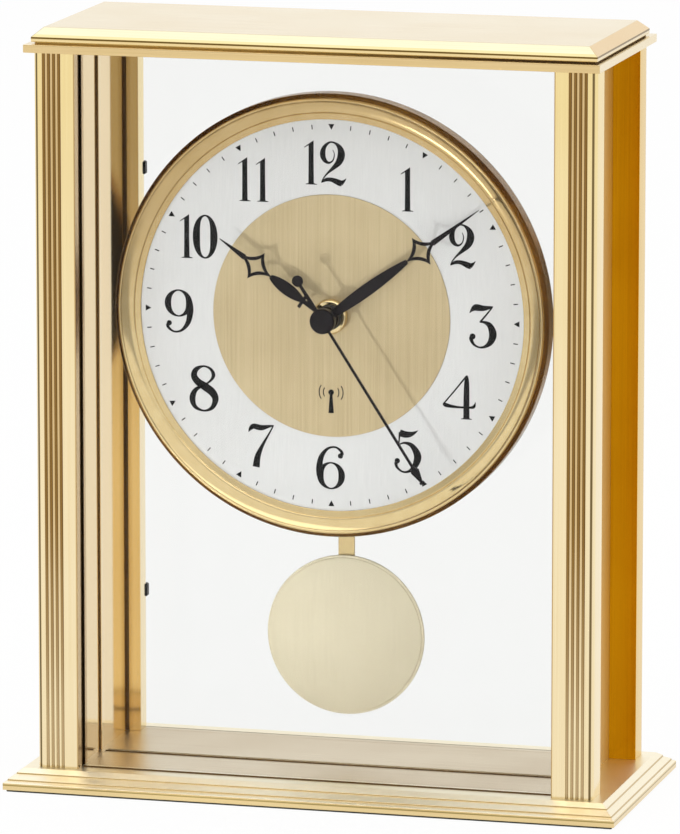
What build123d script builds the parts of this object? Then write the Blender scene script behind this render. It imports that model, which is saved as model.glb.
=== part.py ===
from build123d import *
import os
from math import cos, radians, sin

# Desk pendulum clock: brass case on four fluted columns, dial carried by a glass pane.
# Millimetres, origin under the middle of the base, +Z up, the dial faces -Y.

# Case
CASE_WIDTH = 186.0             # across the outer faces of the columns
CASE_DEPTH = 71.0              # from the front faces to the rear faces of the columns
COLUMN_HEIGHT = 235.3
COLUMN_WIDTH = 13.8
REAR_COLUMN_WIDTH = 17.2       # a rear column reaches further inwards, behind the panel
COLUMN_DEPTH = 10.5
COLUMN_ROUND = 2.0             # outer corner of a column
FLUTE_COUNT = 4
FLUTE_PITCH = 1.72
FLUTE_START = 2.8              # outer face of a column to its first flute
FLUTE_RADIUS = 0.65
FLUTE_DEPTH = 0.55

# Base
FELT_THICKNESS = 0.8
FELT_INSET = 2.0
BASE_HEIGHT = 6.2
PLATEAU_MARGIN_SIDE = 4.0      # flat top of the base beyond the columns
PLATEAU_MARGIN_FRONT = 2.5
BAND_RUNS_SIDE = (1.8, 2.2, 1.2)
BAND_RUNS_FRONT = (2.4, 3.0, 1.6)
BAND_DROPS = (1.25, 1.25, 0.6)
BAND_STEP = 0.45               # upright edge under each band
BASE_TOP_WALL = 2.6
BASE_RIM = 3.0
FLOOR_SHEET = 0.5

# Top
FLANGE_THICKNESS = 2.1
FLANGE_OVERHANG_SIDE = 2.0
FLANGE_OVERHANG_FRONT = 4.5
SHADOW_GAP = 0.6
SHADOW_INSET = 2.4
SLAB_SETBACK_SIDE = 1.6        # from the flange's edge
SLAB_SETBACK_FRONT = 3.4
SLAB_FACE = 2.2
BEVEL_HEIGHT = 2.8
BEVEL_RUN = 3.4

# Panes, panels and their seals
GLASS_THICKNESS = 3.0
GLASS_LIP = 3.8                # column in front of a pane's seal
GLASS_SEAT = 2.0               # how far a pane's groove goes into a column
SEAL_THICKNESS = 0.7
SEAL_PROUD = 0.5
PANE_FOOT = 1.2                # depth of the pane slots in the base
PANE_HEAD = 1.0                # depth of the pane slots in the top flange
PANE_CLEARANCE = 0.15
PANEL_RECESS = 9.0             # outer face of a column to the panel
PANEL_THICKNESS = 3.4
PANEL_SEAT = 2.2
DIAL_GLASS_FRONT = -6.5
CLIP_SPREAD = 71.0             # clips above and below the middle of the columns
CLIP_HEIGHT = 4.4
CLIP_REACH = 0.5
CLIP_THICKNESS = 2.0
CLIP_ROUND = 0.6

# Screws that tie the columns to the base and to the flange
SCREW_RADIUS = 1.5
SCREW_HEAD_RADIUS = 2.7
SCREW_HEAD_HEIGHT = 1.4
SCREW_GRIP = 8.0
SCREW_CLEARANCE = 0.05
SCREW_INSET = 5.4

# Dial and bezel
DIAL_DROP = 85.8               # top of the columns to the centre of the dial
BEZEL_MARGIN = 20.5            # outer faces of the columns to the bezel
BEZEL_DEPTH = 8.2
BEZEL_WALL = 6.5
BEZEL_LIP = 2.0                # lip that holds the dial, inside the wall
BEZEL_LIP_FACE = 2.2           # flat front of the lip
BEZEL_LIP_THICKNESS = 0.5
BEZEL_BEAD = 1.0               # width of the half-round front edge
BEZEL_SHOULDER = 1.4           # slope between the wall and the bead
BEZEL_COVE = 0.3               # hollow of the sloping band
DIAL_STANDOFF = 4.9            # dial's back above the glass
DIAL_THICKNESS = 0.6
DIAL_CLEARANCE = 0.2
CENTRE_RADIUS = 39.6
CENTRE_THICKNESS = 0.3
PAN_WALL = 1.0
PAN_BOSS_RADIUS = 9.0
BUSH_RADIUS = 4.0
BUSH_HOLE_CLEARANCE = 0.2
NUT_RADIUS = 5.7
NUT_HEIGHT = 2.5
BUSH_END = 0.6                 # bush beyond the nut

# Hands: the time shown is about nine minutes past ten
MINUTE_ANGLE = 53.5
HOUR_ANGLE = 304.46
SECOND_ANGLE = 147.0
HAND_THICKNESS = 0.4
HAND_BOSS = 1.6
HAND_FIT = 0.02
HAND_GAP = 0.8                 # between the bosses of two hands
PIPE_END = 0.3                 # pipe in front of its hand's boss
HOUR_BOSS_RADIUS = 3.8
HOUR_LENGTH = 43.5
HOUR_HORN = 28.7
HOUR_LEAF = 14.2
HOUR_COLLAR = 9.7
HOUR_COLLAR_WIDTH = 5.2
HOUR_COLLAR_THICKNESS = 1.1
MINUTE_BOSS_RADIUS = 3.6
MINUTE_LENGTH = 63.6
MINUTE_HORN = 39.9
MINUTE_LEAF = 21.5
HORN_REACH = 5.2
HORN_HOLLOW = 1.3              # hollow of the diamond's outer sides
DIAMOND_HALF = 7.2
WINDOW_HALF = 3.6
WINDOW_REACH = 3.1
WINDOW_HOLLOW = 0.5
LEAF_HALF_WIDTH = 1.95
STEM_HALF_WIDTH = 0.75
SPEAR_HALF_WIDTH = 0.95
SECOND_LENGTH = 61.4
SECOND_WIDTH = 0.85
SECOND_ARROW = 4.8
SECOND_ARROW_HALF_WIDTH = 1.5
SECOND_TAIL = 15.2
SECOND_DISC_RADIUS = 1.85
CAP_RADIUS = 4.1
CAP_HEIGHT = 2.6
CAP_ROUND = 0.7

# Movement
SECOND_ARBOR_RADIUS = 0.45
MINUTE_PIPE_RADIUS = 1.5
HOUR_PIPE_RADIUS = 2.4
RUNNING_FIT = 0.05
HOUSING_WIDTH = 62.0
HOUSING_DROP = 52.0            # arbor to the housing's bottom
HOUSING_DEPTH = 18.5
HOUSING_WALL = 1.5
HOUSING_ROUND = 4.0
SHELF_HEIGHT = 10.5            # arbor to the underside of the battery shelf
COVER_THICKNESS = 1.5
POST_RADIUS = 2.4
POST_INSET = 4.2
COVER_SCREW_RADIUS = 1.0
COVER_SCREW_HEAD = 2.0
COVER_SCREW_HEIGHT = 1.0
COVER_SCREW_GRIP = 6.0
BATTERY_RADIUS = 7.25
BATTERY_LENGTH = 49.5
BATTERY_NUB_RADIUS = 2.7
BATTERY_NUB = 1.0
BATTERY_CLEARANCE = 0.4
CONTACT_WIDTH = 8.0
CONTACT_THICKNESS = 0.4
TRAIN_PLATE = 1.2
TRAIN_PLATE_SPACE = 7.2        # front wall to the train plate
TRAIN_PLATE_DROP = 18.0
TRAIN_POST_RADIUS = 1.8
TRAIN_POST_SPREAD = 25.0
MINUTE_TEETH = 12
MOTION_TEETH = 36
MOTION_PINION_TEETH = 10
HOUR_TEETH = 40
MOTION_MODULE = 0.4
WHEEL_THICKNESS = 1.2
WHEEL_GAP = 0.5
STUD_RADIUS = 0.6
DRIVE_WHEEL_RADIUS = 8.2
SECOND_WHEEL_RADIUS = 6.5
BOARD_WIDTH = 40.0
BOARD_HEIGHT = 13.0
BOARD_THICKNESS = 1.0
BOARD_SPACE = 4.1              # train plate to the board
BOARD_POST_RADIUS = 1.4
BOARD_CENTRE_DROP = 9.5
MOTOR_SPREAD = 14.0
MOTOR_RISE = 5.0
MOTOR_LENGTH = 14.0
MOTOR_COIL_RADIUS = 2.5
MOTOR_FLANGE_RADIUS = 3.1
MOTOR_FOOT = 1.0
ANTENNA_OFFSET = 18.0
ANTENNA_LENGTH = 24.0
ANTENNA_RADIUS = 2.4
ANTENNA_COIL_RADIUS = 3.4
ANTENNA_COIL_LENGTH = 13.0
BUTTON_RADIUS = 2.0
BUTTON_SPREAD = 10.0
BUTTON_PROUD = 1.2
BUTTON_FLANGE_RADIUS = 2.8
BUTTON_FLANGE = 0.8
BUTTON_PLAY = 0.3              # flange to the inside of the cover
BUTTON_TRAVEL = 0.8
BUTTON_FIT = 0.1

# Pendulum
PIVOT_DROP = 28.0              # arbor to the pendulum's pivot
PIVOT_RADIUS = 0.8
PIVOT_SEAT = 0.6               # blind hole that holds each end of the pivot pin
PENDULUM_DEPTH = 7.0           # plane where the rod and the bob meet
HANGER_THICKNESS = 2.0
HANGER_WIDTH = 6.0
HANGER_BOSS_RADIUS = 2.6
HANGER_BOSS_LENGTH = 8.0
HANGER_HOOK_DROP = 29.0        # pivot to the hook pin
HOOK_RADIUS = 1.0
HOOK_LENGTH = 2.2
HANGER_END = 3.0
SWING_SLOT_WIDTH = 17.0
SWING_SLOT_DEPTH = 10.0
MAGNET_DROP = 14.0
MAGNET_RADIUS = 3.0
MAGNET_THICKNESS = 2.5
MAGNET_RING = 1.5
COIL_RADIUS = 7.0
COIL_CORE_RADIUS = 2.5
COIL_HEIGHT = 4.0
COIL_FLANGE = 0.6
COIL_GROOVE = 1.2
ROD_WIDTH = 5.4
ROD_THICKNESS = 0.8
BOB_RISE = 40.8                # top of the base to the middle of the bob
BOB_RADIUS = 26.5
BOB_EDGE = 1.0
BOB_CROWN = 1.6
BOB_RIM = 0.9
BOB_RIM_STEP = 0.25
BOB_SCREW_RADIUS = 1.0
BOB_SCREW_HEAD = 2.2
BOB_SCREW_HEIGHT = 1.2
BOB_SCREW_GRIP = 1.2
ROD_BELOW_BOB_CENTRE = 8.0

os.makedirs("parts", exist_ok=True)

# Heights and depths worked out from the sizes above
FLOOR_Z = FELT_THICKNESS + BASE_HEIGHT
CEILING_Z = FLOOR_Z + COLUMN_HEIGHT
FLANGE_TOP_Z = CEILING_Z + FLANGE_THICKNESS
SLAB_Z = FLANGE_TOP_Z + SHADOW_GAP
DIAL_Z = CEILING_Z - DIAL_DROP
PLATEAU_WIDTH = CASE_WIDTH + 2 * PLATEAU_MARGIN_SIDE
PLATEAU_DEPTH = CASE_DEPTH + 2 * PLATEAU_MARGIN_FRONT
FLANGE_WIDTH = CASE_WIDTH + 2 * FLANGE_OVERHANG_SIDE
FLANGE_DEPTH = CASE_DEPTH + 2 * FLANGE_OVERHANG_FRONT
SLAB_WIDTH = FLANGE_WIDTH - 2 * SLAB_SETBACK_SIDE
SLAB_DEPTH = FLANGE_DEPTH - 2 * SLAB_SETBACK_FRONT
COLUMN_INNER_X = CASE_WIDTH / 2 - COLUMN_WIDTH
REAR_INNER_X = CASE_WIDTH / 2 - REAR_COLUMN_WIDTH
COLUMN_BACK_Y = CASE_DEPTH / 2 - COLUMN_DEPTH
PANEL_MID_X = CASE_WIDTH / 2 - PANEL_RECESS - PANEL_THICKNESS / 2
PANEL_INNER_X = PANEL_MID_X - PANEL_THICKNESS / 2
PANEL_SEAT_X = PANEL_MID_X - SEAL_THICKNESS / 2
GROOVE_WIDTH = GLASS_THICKNESS + 2 * SEAL_THICKNESS
FRONT_GLASS_Y = -CASE_DEPTH / 2 + GLASS_LIP + GROOVE_WIDTH / 2
FRONT_GLASS_WIDTH = 2 * (COLUMN_INNER_X + GLASS_SEAT - SEAL_THICKNESS)
DIAL_GLASS_Y = DIAL_GLASS_FRONT + GLASS_THICKNESS / 2
DIAL_GLASS_REAR = DIAL_GLASS_FRONT + GLASS_THICKNESS
DIAL_GLASS_WIDTH = 2 * (PANEL_INNER_X - SEAL_THICKNESS)
REAR_GLASS_FRONT = COLUMN_BACK_Y + GLASS_LIP
REAR_GLASS_WIDTH = 2 * (REAR_INNER_X + GLASS_SEAT - PANE_CLEARANCE)
SCREW_SPOTS = [
    (side * (CASE_WIDTH / 2 - SCREW_INSET), end * (CASE_DEPTH / 2 - SCREW_INSET))
    for side in (-1, 1)
    for end in (-1, 1)
]
BEZEL_RADIUS = CASE_WIDTH / 2 - BEZEL_MARGIN
DIAL_BACK_Y = DIAL_GLASS_FRONT - DIAL_STANDOFF
DIAL_FACE_Y = DIAL_BACK_Y - DIAL_THICKNESS
CENTRE_FACE_Y = DIAL_FACE_Y - CENTRE_THICKNESS
NUT_FRONT_Y = CENTRE_FACE_Y - NUT_HEIGHT
BUSH_FRONT_Y = NUT_FRONT_Y - BUSH_END
HOUR_HAND_Y = BUSH_FRONT_Y - HAND_GAP
MINUTE_HAND_Y = HOUR_HAND_Y - HAND_BOSS - PIPE_END - HAND_GAP
SECOND_HAND_Y = MINUTE_HAND_Y - HAND_BOSS - PIPE_END - HAND_GAP
HOUSING_REAR_Y = DIAL_GLASS_REAR + HOUSING_DEPTH
HOUSING_INSIDE_Y = DIAL_GLASS_REAR + HOUSING_WALL
SHELF_TOP = SHELF_HEIGHT + HOUSING_WALL
HOUSING_RISE = SHELF_TOP + 2 * BATTERY_RADIUS + BATTERY_CLEARANCE + HOUSING_WALL
HOUSING_INNER_X = HOUSING_WIDTH / 2 - HOUSING_WALL
HOUR_WHEEL_Y = HOUSING_INSIDE_Y + WHEEL_GAP + WHEEL_THICKNESS
MOTION_WHEEL_Y = HOUR_WHEEL_Y + WHEEL_GAP + WHEEL_THICKNESS
DRIVE_WHEEL_Y = MOTION_WHEEL_Y + WHEEL_GAP + WHEEL_THICKNESS
TRAIN_PLATE_Y = HOUSING_INSIDE_Y + TRAIN_PLATE_SPACE
TRAIN_REAR_Y = TRAIN_PLATE_Y + TRAIN_PLATE
BOARD_Y = TRAIN_REAR_Y + BOARD_SPACE
MOTION_REACH = MOTION_MODULE * (MINUTE_TEETH + MOTION_TEETH) / 2
HOUR_MODULE = 2 * MOTION_REACH / (MOTION_PINION_TEETH + HOUR_TEETH)
COVER_BOTTOM = DIAL_Z - HOUSING_DROP
COVER_TOP = DIAL_Z + SHELF_HEIGHT
COVER_MID = (COVER_BOTTOM + COVER_TOP) / 2
POST_SPOTS = [
    (side * (HOUSING_WIDTH / 2 - POST_INSET), level)
    for side in (-1, 1)
    for level in (COVER_BOTTOM + POST_INSET, COVER_TOP - POST_INSET)
]
TRAIN_POSTS = [
    (side * TRAIN_POST_SPREAD, level)
    for side in (-1, 1)
    for level in (DIAL_Z - TRAIN_PLATE_DROP + POST_INSET, DIAL_Z)
]
BUTTON_Z = DIAL_Z - BOARD_CENTRE_DROP
PIVOT_Z = DIAL_Z - PIVOT_DROP
HOOK_Z = PIVOT_Z - HANGER_HOOK_DROP
MAGNET_Z = PIVOT_Z - MAGNET_DROP
BOB_Z = FLOOR_Z + BOB_RISE
HANGER_FRONT_Y = PENDULUM_DEPTH - HANGER_THICKNESS
HANGER_MID_Y = PENDULUM_DEPTH - HANGER_THICKNESS / 2
DIAL_AXIS = Axis((0, 0, DIAL_Z), (0, 1, 0))


def front_plane(depth, x=0.0, z=DIAL_Z):
    """Upright plane that faces the viewer: its own X is +X and its own Y is +Z."""
    return Plane(origin=(x, depth, z), x_dir=(1, 0, 0), z_dir=(0, -1, 0))


def hand_plane(depth, angle):
    """Plane of a hand: its own Y runs from the arbor to the tip, clockwise by the angle."""
    turn = radians(angle)
    return Plane(origin=(0, depth, DIAL_Z), x_dir=(cos(turn), 0, -sin(turn)), z_dir=(0, -1, 0))


def radial_plane(z):
    """Level plane through a level axis: its own X is the radius and its own Y is the depth."""
    return Plane(origin=(0, 0, z), x_dir=(1, 0, 0), z_dir=(0, 0, 1))


def save(builder, name):
    """Labels a finished piece and writes its file."""
    builder.part.label = name
    export_step(builder.part, f"parts/{name}.step")


def gear_face(teeth, module, turn=0.0):
    """Wheel face with straight-sided teeth, thin enough to run with backlash."""
    flank = ((-0.26, -1.15), (-0.12, 0.8), (0.12, 0.8), (0.26, -1.15))
    corners = []
    for tooth in range(teeth):
        for share, height in flank:
            angle = radians(turn + (tooth + share) * 360 / teeth)
            reach = module * (teeth / 2 + height)
            corners.append((reach * cos(angle), reach * sin(angle)))
    with BuildSketch() as face:
        Polygon(*corners, align=None)
    return face.sketch


def hollow_diamond(horn, half, reach, hollow):
    """Four-cornered face with hollow sides, two corners on the hand's line and two horns beside it."""
    with BuildSketch() as face:
        with BuildLine():
            SagittaArc((0, horn - half), (reach, horn), hollow)
            SagittaArc((reach, horn), (0, horn + half), hollow)
            Line((0, horn + half), (0, horn - half))
        make_face()
        mirror(about=Plane.YZ)
    return face.sketch


def leaf(start, middle, end):
    """Leaf along the hand's line, as wide as a stem at its start and slim at its end."""
    with BuildSketch() as face:
        with BuildLine():
            ThreePointArc((STEM_HALF_WIDTH, start), (LEAF_HALF_WIDTH, middle), (STEM_HALF_WIDTH, end))
            Polyline((STEM_HALF_WIDTH, end), (0, end), (0, start), (STEM_HALF_WIDTH, start))
        make_face()
        mirror(about=Plane.YZ)
    return face.sketch


def spear(start, tip):
    """Slim point from the diamond to the end of a hand."""
    with BuildSketch() as face:
        blunt = HAND_THICKNESS / 4
        wide = SPEAR_HALF_WIDTH
        Polygon((-wide, start), (wide, start), (blunt, tip), (-blunt, tip), align=None)
    return face.sketch


# Felt under the base
with BuildPart() as felt_pad:
    with BuildSketch():
        Rectangle(
            PLATEAU_WIDTH + 2 * sum(BAND_RUNS_SIDE) - 2 * FELT_INSET,
            PLATEAU_DEPTH + 2 * sum(BAND_RUNS_FRONT) - 2 * FELT_INSET,
        )
    extrude(amount=FELT_THICKNESS)
save(felt_pad, "felt_pad")

# Stepped plinth: three sloping bands, each over an upright step, hollow underneath
levels = [(FLOOR_Z, 0.0, 0.0)]
for run_side, run_front, drop in zip(BAND_RUNS_SIDE, BAND_RUNS_FRONT, BAND_DROPS):
    height, side, front = levels[-1]
    levels.append((height - drop, side + run_side, front + run_front))
    levels.append((height - drop - BAND_STEP, side + run_side, front + run_front))
levels[-1] = (FELT_THICKNESS, levels[-1][1], levels[-1][2])
with BuildPart() as base_plinth:
    for upper, lower in zip(levels, levels[1:]):
        for height, side, front in (lower, upper):
            with BuildSketch(Plane.XY.offset(height)):
                Rectangle(PLATEAU_WIDTH + 2 * side, PLATEAU_DEPTH + 2 * front)
        loft(ruled=True)
    with BuildSketch(Plane.XY.offset(FELT_THICKNESS)):
        Rectangle(PLATEAU_WIDTH - 2 * BASE_RIM, PLATEAU_DEPTH - 2 * BASE_RIM)
    extrude(amount=BASE_HEIGHT - BASE_TOP_WALL, mode=Mode.SUBTRACT)
    floor_from = FRONT_GLASS_Y + GLASS_THICKNESS / 2
    with BuildSketch(Plane.XY.offset(FLOOR_Z)):
        with Locations((0, (floor_from + REAR_GLASS_FRONT) / 2)):
            Rectangle(2 * (COLUMN_INNER_X - SEAL_PROUD), REAR_GLASS_FRONT - floor_from)
    extrude(amount=-FLOOR_SHEET, mode=Mode.SUBTRACT)
    for depth, width in ((FRONT_GLASS_Y, FRONT_GLASS_WIDTH), (DIAL_GLASS_Y, DIAL_GLASS_WIDTH)):
        with BuildSketch(Plane.XY.offset(FLOOR_Z)):
            with Locations((0, depth)):
                Rectangle(width + 2 * PANE_CLEARANCE, GLASS_THICKNESS + 2 * PANE_CLEARANCE)
        extrude(amount=-PANE_FOOT, mode=Mode.SUBTRACT)
    with BuildSketch(Plane.XY.offset(FLOOR_Z)):
        with Locations(*SCREW_SPOTS):
            Circle(SCREW_RADIUS + SCREW_CLEARANCE)
    extrude(amount=-BASE_TOP_WALL, mode=Mode.SUBTRACT)
save(base_plinth, "base_plinth")

# Brushed floor sheets in front of and behind the dial's pane
floor_spans = {
    "floor_front": (FRONT_GLASS_Y + GLASS_THICKNESS / 2 + PANE_CLEARANCE, DIAL_GLASS_FRONT - PANE_CLEARANCE),
    "floor_rear": (DIAL_GLASS_REAR + PANE_CLEARANCE, REAR_GLASS_FRONT - PANE_CLEARANCE),
}
for name, (near, far) in floor_spans.items():
    with BuildPart() as floor_sheet:
        with BuildSketch(Plane.XY.offset(FLOOR_Z)):
            with Locations((0, (near + far) / 2)):
                Rectangle(2 * (COLUMN_INNER_X - SEAL_PROUD - PANE_CLEARANCE), far - near)
        extrude(amount=-FLOOR_SHEET)
    save(floor_sheet, name)

# Fluted columns: the front pair has a groove for the front pane, the rear pair a rebate open to the back
for end_name, end in (("front", -1), ("rear", 1)):
    for side_name, side in (("left", -1), ("right", 1)):
        corner_x = side * CASE_WIDTH / 2
        corner_y = end * CASE_DEPTH / 2
        flutes = [
            (
                corner_x - side * (FLUTE_START + number * FLUTE_PITCH),
                corner_y + end * (FLUTE_RADIUS - FLUTE_DEPTH),
            )
            for number in range(FLUTE_COUNT)
        ]
        if end < 0:
            width = COLUMN_WIDTH
            seat_y = FRONT_GLASS_Y
            seat_depth = GROOVE_WIDTH
        else:
            width = REAR_COLUMN_WIDTH
            seat_y = (REAR_GLASS_FRONT + corner_y) / 2
            seat_depth = corner_y - REAR_GLASS_FRONT
        with BuildPart() as column:
            with BuildSketch(Plane.XY.offset(FLOOR_Z)) as section:
                with Locations((corner_x - side * width / 2, corner_y - end * COLUMN_DEPTH / 2)):
                    Rectangle(width, COLUMN_DEPTH)
                fillet(section.vertices().sort_by_distance((corner_x, corner_y, 0))[0], COLUMN_ROUND)
                with Locations(*flutes):
                    Circle(FLUTE_RADIUS, mode=Mode.SUBTRACT)
                with Locations((side * PANEL_SEAT_X, end * (COLUMN_BACK_Y + PANEL_SEAT / 2))):
                    Rectangle(PANEL_THICKNESS + SEAL_THICKNESS, PANEL_SEAT, mode=Mode.SUBTRACT)
                with Locations((corner_x - side * (width - GLASS_SEAT / 2), seat_y)):
                    Rectangle(GLASS_SEAT, seat_depth, mode=Mode.SUBTRACT)
            extrude(amount=COLUMN_HEIGHT)
            for height, direction in ((FLOOR_Z, 1), (CEILING_Z, -1)):
                with BuildSketch(Plane.XY.offset(height)):
                    with Locations((corner_x - side * SCREW_INSET, corner_y - end * SCREW_INSET)):
                        Circle(SCREW_RADIUS + SCREW_CLEARANCE)
                extrude(amount=direction * SCREW_GRIP, mode=Mode.SUBTRACT)
        save(column, f"{end_name}_{side_name}_column")

# Polished side panels in the columns' grooves, pressed outwards by a seal on each upright edge
panel_reach = COLUMN_BACK_Y + PANEL_SEAT - SEAL_THICKNESS
for side_name, side in (("left", -1), ("right", 1)):
    with BuildPart() as side_panel:
        with BuildSketch(Plane.XY.offset(FLOOR_Z)):
            with Locations((side * PANEL_MID_X, 0)):
                Rectangle(PANEL_THICKNESS, 2 * panel_reach)
        extrude(amount=COLUMN_HEIGHT)
    save(side_panel, f"{side_name}_side_panel")

with BuildPart() as panel_seals:
    for side in (-1, 1):
        for end in (-1, 1):
            with BuildSketch(Plane.XY.offset(FLOOR_Z)):
                with Locations((side * PANEL_SEAT_X, end * (COLUMN_BACK_Y + PANEL_SEAT / 2))):
                    Rectangle(PANEL_THICKNESS + SEAL_THICKNESS, PANEL_SEAT)
                with Locations((side * PANEL_MID_X, end * (panel_reach + COLUMN_BACK_Y) / 2)):
                    Rectangle(PANEL_THICKNESS, panel_reach - COLUMN_BACK_Y, mode=Mode.SUBTRACT)
            extrude(amount=COLUMN_HEIGHT)
save(panel_seals, "panel_seals")

# Front pane with a channel seal on each upright edge
pane_height = PANE_FOOT + COLUMN_HEIGHT + PANE_HEAD - PANE_CLEARANCE
with BuildPart() as front_glass:
    with BuildSketch(Plane.XY.offset(FLOOR_Z - PANE_FOOT)):
        with Locations((0, FRONT_GLASS_Y)):
            Rectangle(FRONT_GLASS_WIDTH, GLASS_THICKNESS)
    extrude(amount=pane_height)
save(front_glass, "front_glass")

with BuildPart() as front_glass_seals:
    for side in (-1, 1):
        inner_x = COLUMN_INNER_X - SEAL_PROUD
        outer_x = COLUMN_INNER_X + GLASS_SEAT
        with BuildSketch(Plane.XY.offset(FLOOR_Z)):
            with Locations((side * (inner_x + outer_x) / 2, FRONT_GLASS_Y)):
                Rectangle(outer_x - inner_x, GROOVE_WIDTH)
            with Locations((side * (inner_x + FRONT_GLASS_WIDTH / 2) / 2, FRONT_GLASS_Y)):
                Rectangle(FRONT_GLASS_WIDTH / 2 - inner_x, GLASS_THICKNESS, mode=Mode.SUBTRACT)
        extrude(amount=COLUMN_HEIGHT)
save(front_glass_seals, "front_glass_seals")

# Pane that carries the dial and the movement, with a strip between each upright edge and its panel
with BuildPart() as dial_glass:
    with BuildSketch(Plane.XY.offset(FLOOR_Z - PANE_FOOT)):
        with Locations((0, DIAL_GLASS_Y)):
            Rectangle(DIAL_GLASS_WIDTH, GLASS_THICKNESS)
    extrude(amount=pane_height)
    with BuildSketch(front_plane(DIAL_GLASS_REAR)):
        Circle(BUSH_RADIUS + BUSH_HOLE_CLEARANCE)
    extrude(amount=GLASS_THICKNESS, mode=Mode.SUBTRACT)
save(dial_glass, "dial_glass")

with BuildPart() as dial_glass_seals:
    with BuildSketch(Plane.XY.offset(FLOOR_Z)):
        with Locations(*[(side * (PANEL_INNER_X - SEAL_THICKNESS / 2), DIAL_GLASS_Y) for side in (-1, 1)]):
            Rectangle(SEAL_THICKNESS, GLASS_THICKNESS)
    extrude(amount=COLUMN_HEIGHT)
save(dial_glass_seals, "dial_glass_seals")

# Lift-out rear pane and the four clips that hold it in the rear columns' rebates
with BuildPart() as rear_glass:
    with BuildSketch(Plane.XY.offset(FLOOR_Z)):
        with Locations((0, REAR_GLASS_FRONT + GLASS_THICKNESS / 2)):
            Rectangle(REAR_GLASS_WIDTH, GLASS_THICKNESS)
    extrude(amount=COLUMN_HEIGHT - PANE_CLEARANCE)
save(rear_glass, "rear_glass")

with BuildPart() as rear_glass_clips:
    for side in (-1, 1):
        for rise in (-1, 1):
            clip_z = FLOOR_Z + COLUMN_HEIGHT / 2 + rise * CLIP_SPREAD
            clip_x = side * (REAR_INNER_X + (GLASS_SEAT - CLIP_REACH) / 2)
            with BuildSketch(front_plane(REAR_GLASS_FRONT + GLASS_THICKNESS, clip_x, clip_z)):
                RectangleRounded(GLASS_SEAT + CLIP_REACH, CLIP_HEIGHT, CLIP_ROUND)
            extrude(amount=-CLIP_THICKNESS)
save(rear_glass_clips, "rear_glass_clips")

# Top: flange plate on the columns, dark spacer that makes the shadow gap, bevelled slab
with BuildPart() as top_flange:
    with BuildSketch(Plane.XY.offset(CEILING_Z)):
        Rectangle(FLANGE_WIDTH, FLANGE_DEPTH)
    extrude(amount=FLANGE_THICKNESS)
    for depth, width in ((FRONT_GLASS_Y, FRONT_GLASS_WIDTH), (DIAL_GLASS_Y, DIAL_GLASS_WIDTH)):
        with BuildSketch(Plane.XY.offset(CEILING_Z)):
            with Locations((0, depth)):
                Rectangle(width + 2 * PANE_CLEARANCE, GLASS_THICKNESS + 2 * PANE_CLEARANCE)
        extrude(amount=PANE_HEAD, mode=Mode.SUBTRACT)
    for spot_x, spot_y in SCREW_SPOTS:
        with Locations((spot_x, spot_y, FLANGE_TOP_Z)):
            CounterSinkHole(
                SCREW_RADIUS + SCREW_CLEARANCE,
                SCREW_HEAD_RADIUS + SCREW_CLEARANCE,
                depth=FLANGE_THICKNESS,
                counter_sink_angle=90,
            )
save(top_flange, "top_flange")

with BuildPart() as top_spacer:
    with BuildSketch(Plane.XY.offset(FLANGE_TOP_Z)):
        Rectangle(SLAB_WIDTH - 2 * SHADOW_INSET, SLAB_DEPTH - 2 * SHADOW_INSET)
    extrude(amount=SHADOW_GAP)
save(top_spacer, "top_spacer")

with BuildPart() as top_slab:
    with BuildSketch(Plane.XY.offset(SLAB_Z)):
        Rectangle(SLAB_WIDTH, SLAB_DEPTH)
    extrude(amount=SLAB_FACE)
    with BuildSketch(Plane.XY.offset(SLAB_Z + SLAB_FACE)):
        Rectangle(SLAB_WIDTH, SLAB_DEPTH)
    with BuildSketch(Plane.XY.offset(SLAB_Z + SLAB_FACE + BEVEL_HEIGHT)):
        Rectangle(SLAB_WIDTH - 2 * BEVEL_RUN, SLAB_DEPTH - 2 * BEVEL_RUN)
    loft(ruled=True)
save(top_slab, "top_slab")

# Screws into the columns, from inside the plinth and from above the flange
with BuildPart() as base_screws:
    seat_z = FLOOR_Z - BASE_TOP_WALL
    with BuildSketch(Plane.XY.offset(seat_z)):
        with Locations(*SCREW_SPOTS):
            Circle(SCREW_RADIUS)
    extrude(amount=BASE_TOP_WALL + SCREW_GRIP)
    with BuildSketch(Plane.XY.offset(seat_z)):
        with Locations(*SCREW_SPOTS):
            Circle(SCREW_HEAD_RADIUS)
    extrude(amount=-SCREW_HEAD_HEIGHT)
save(base_screws, "base_screws")

with BuildPart() as top_screws:
    with BuildSketch(Plane.XY.offset(CEILING_Z - SCREW_GRIP)):
        with Locations(*SCREW_SPOTS):
            Circle(SCREW_RADIUS)
    extrude(amount=SCREW_GRIP + FLANGE_THICKNESS)
    head_drop = SCREW_HEAD_RADIUS - SCREW_RADIUS
    for spot_x, spot_y in SCREW_SPOTS:
        with Locations((spot_x, spot_y, FLANGE_TOP_Z - head_drop / 2)):
            Cone(SCREW_RADIUS, SCREW_HEAD_RADIUS, head_drop)
save(top_screws, "top_screws")

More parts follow.
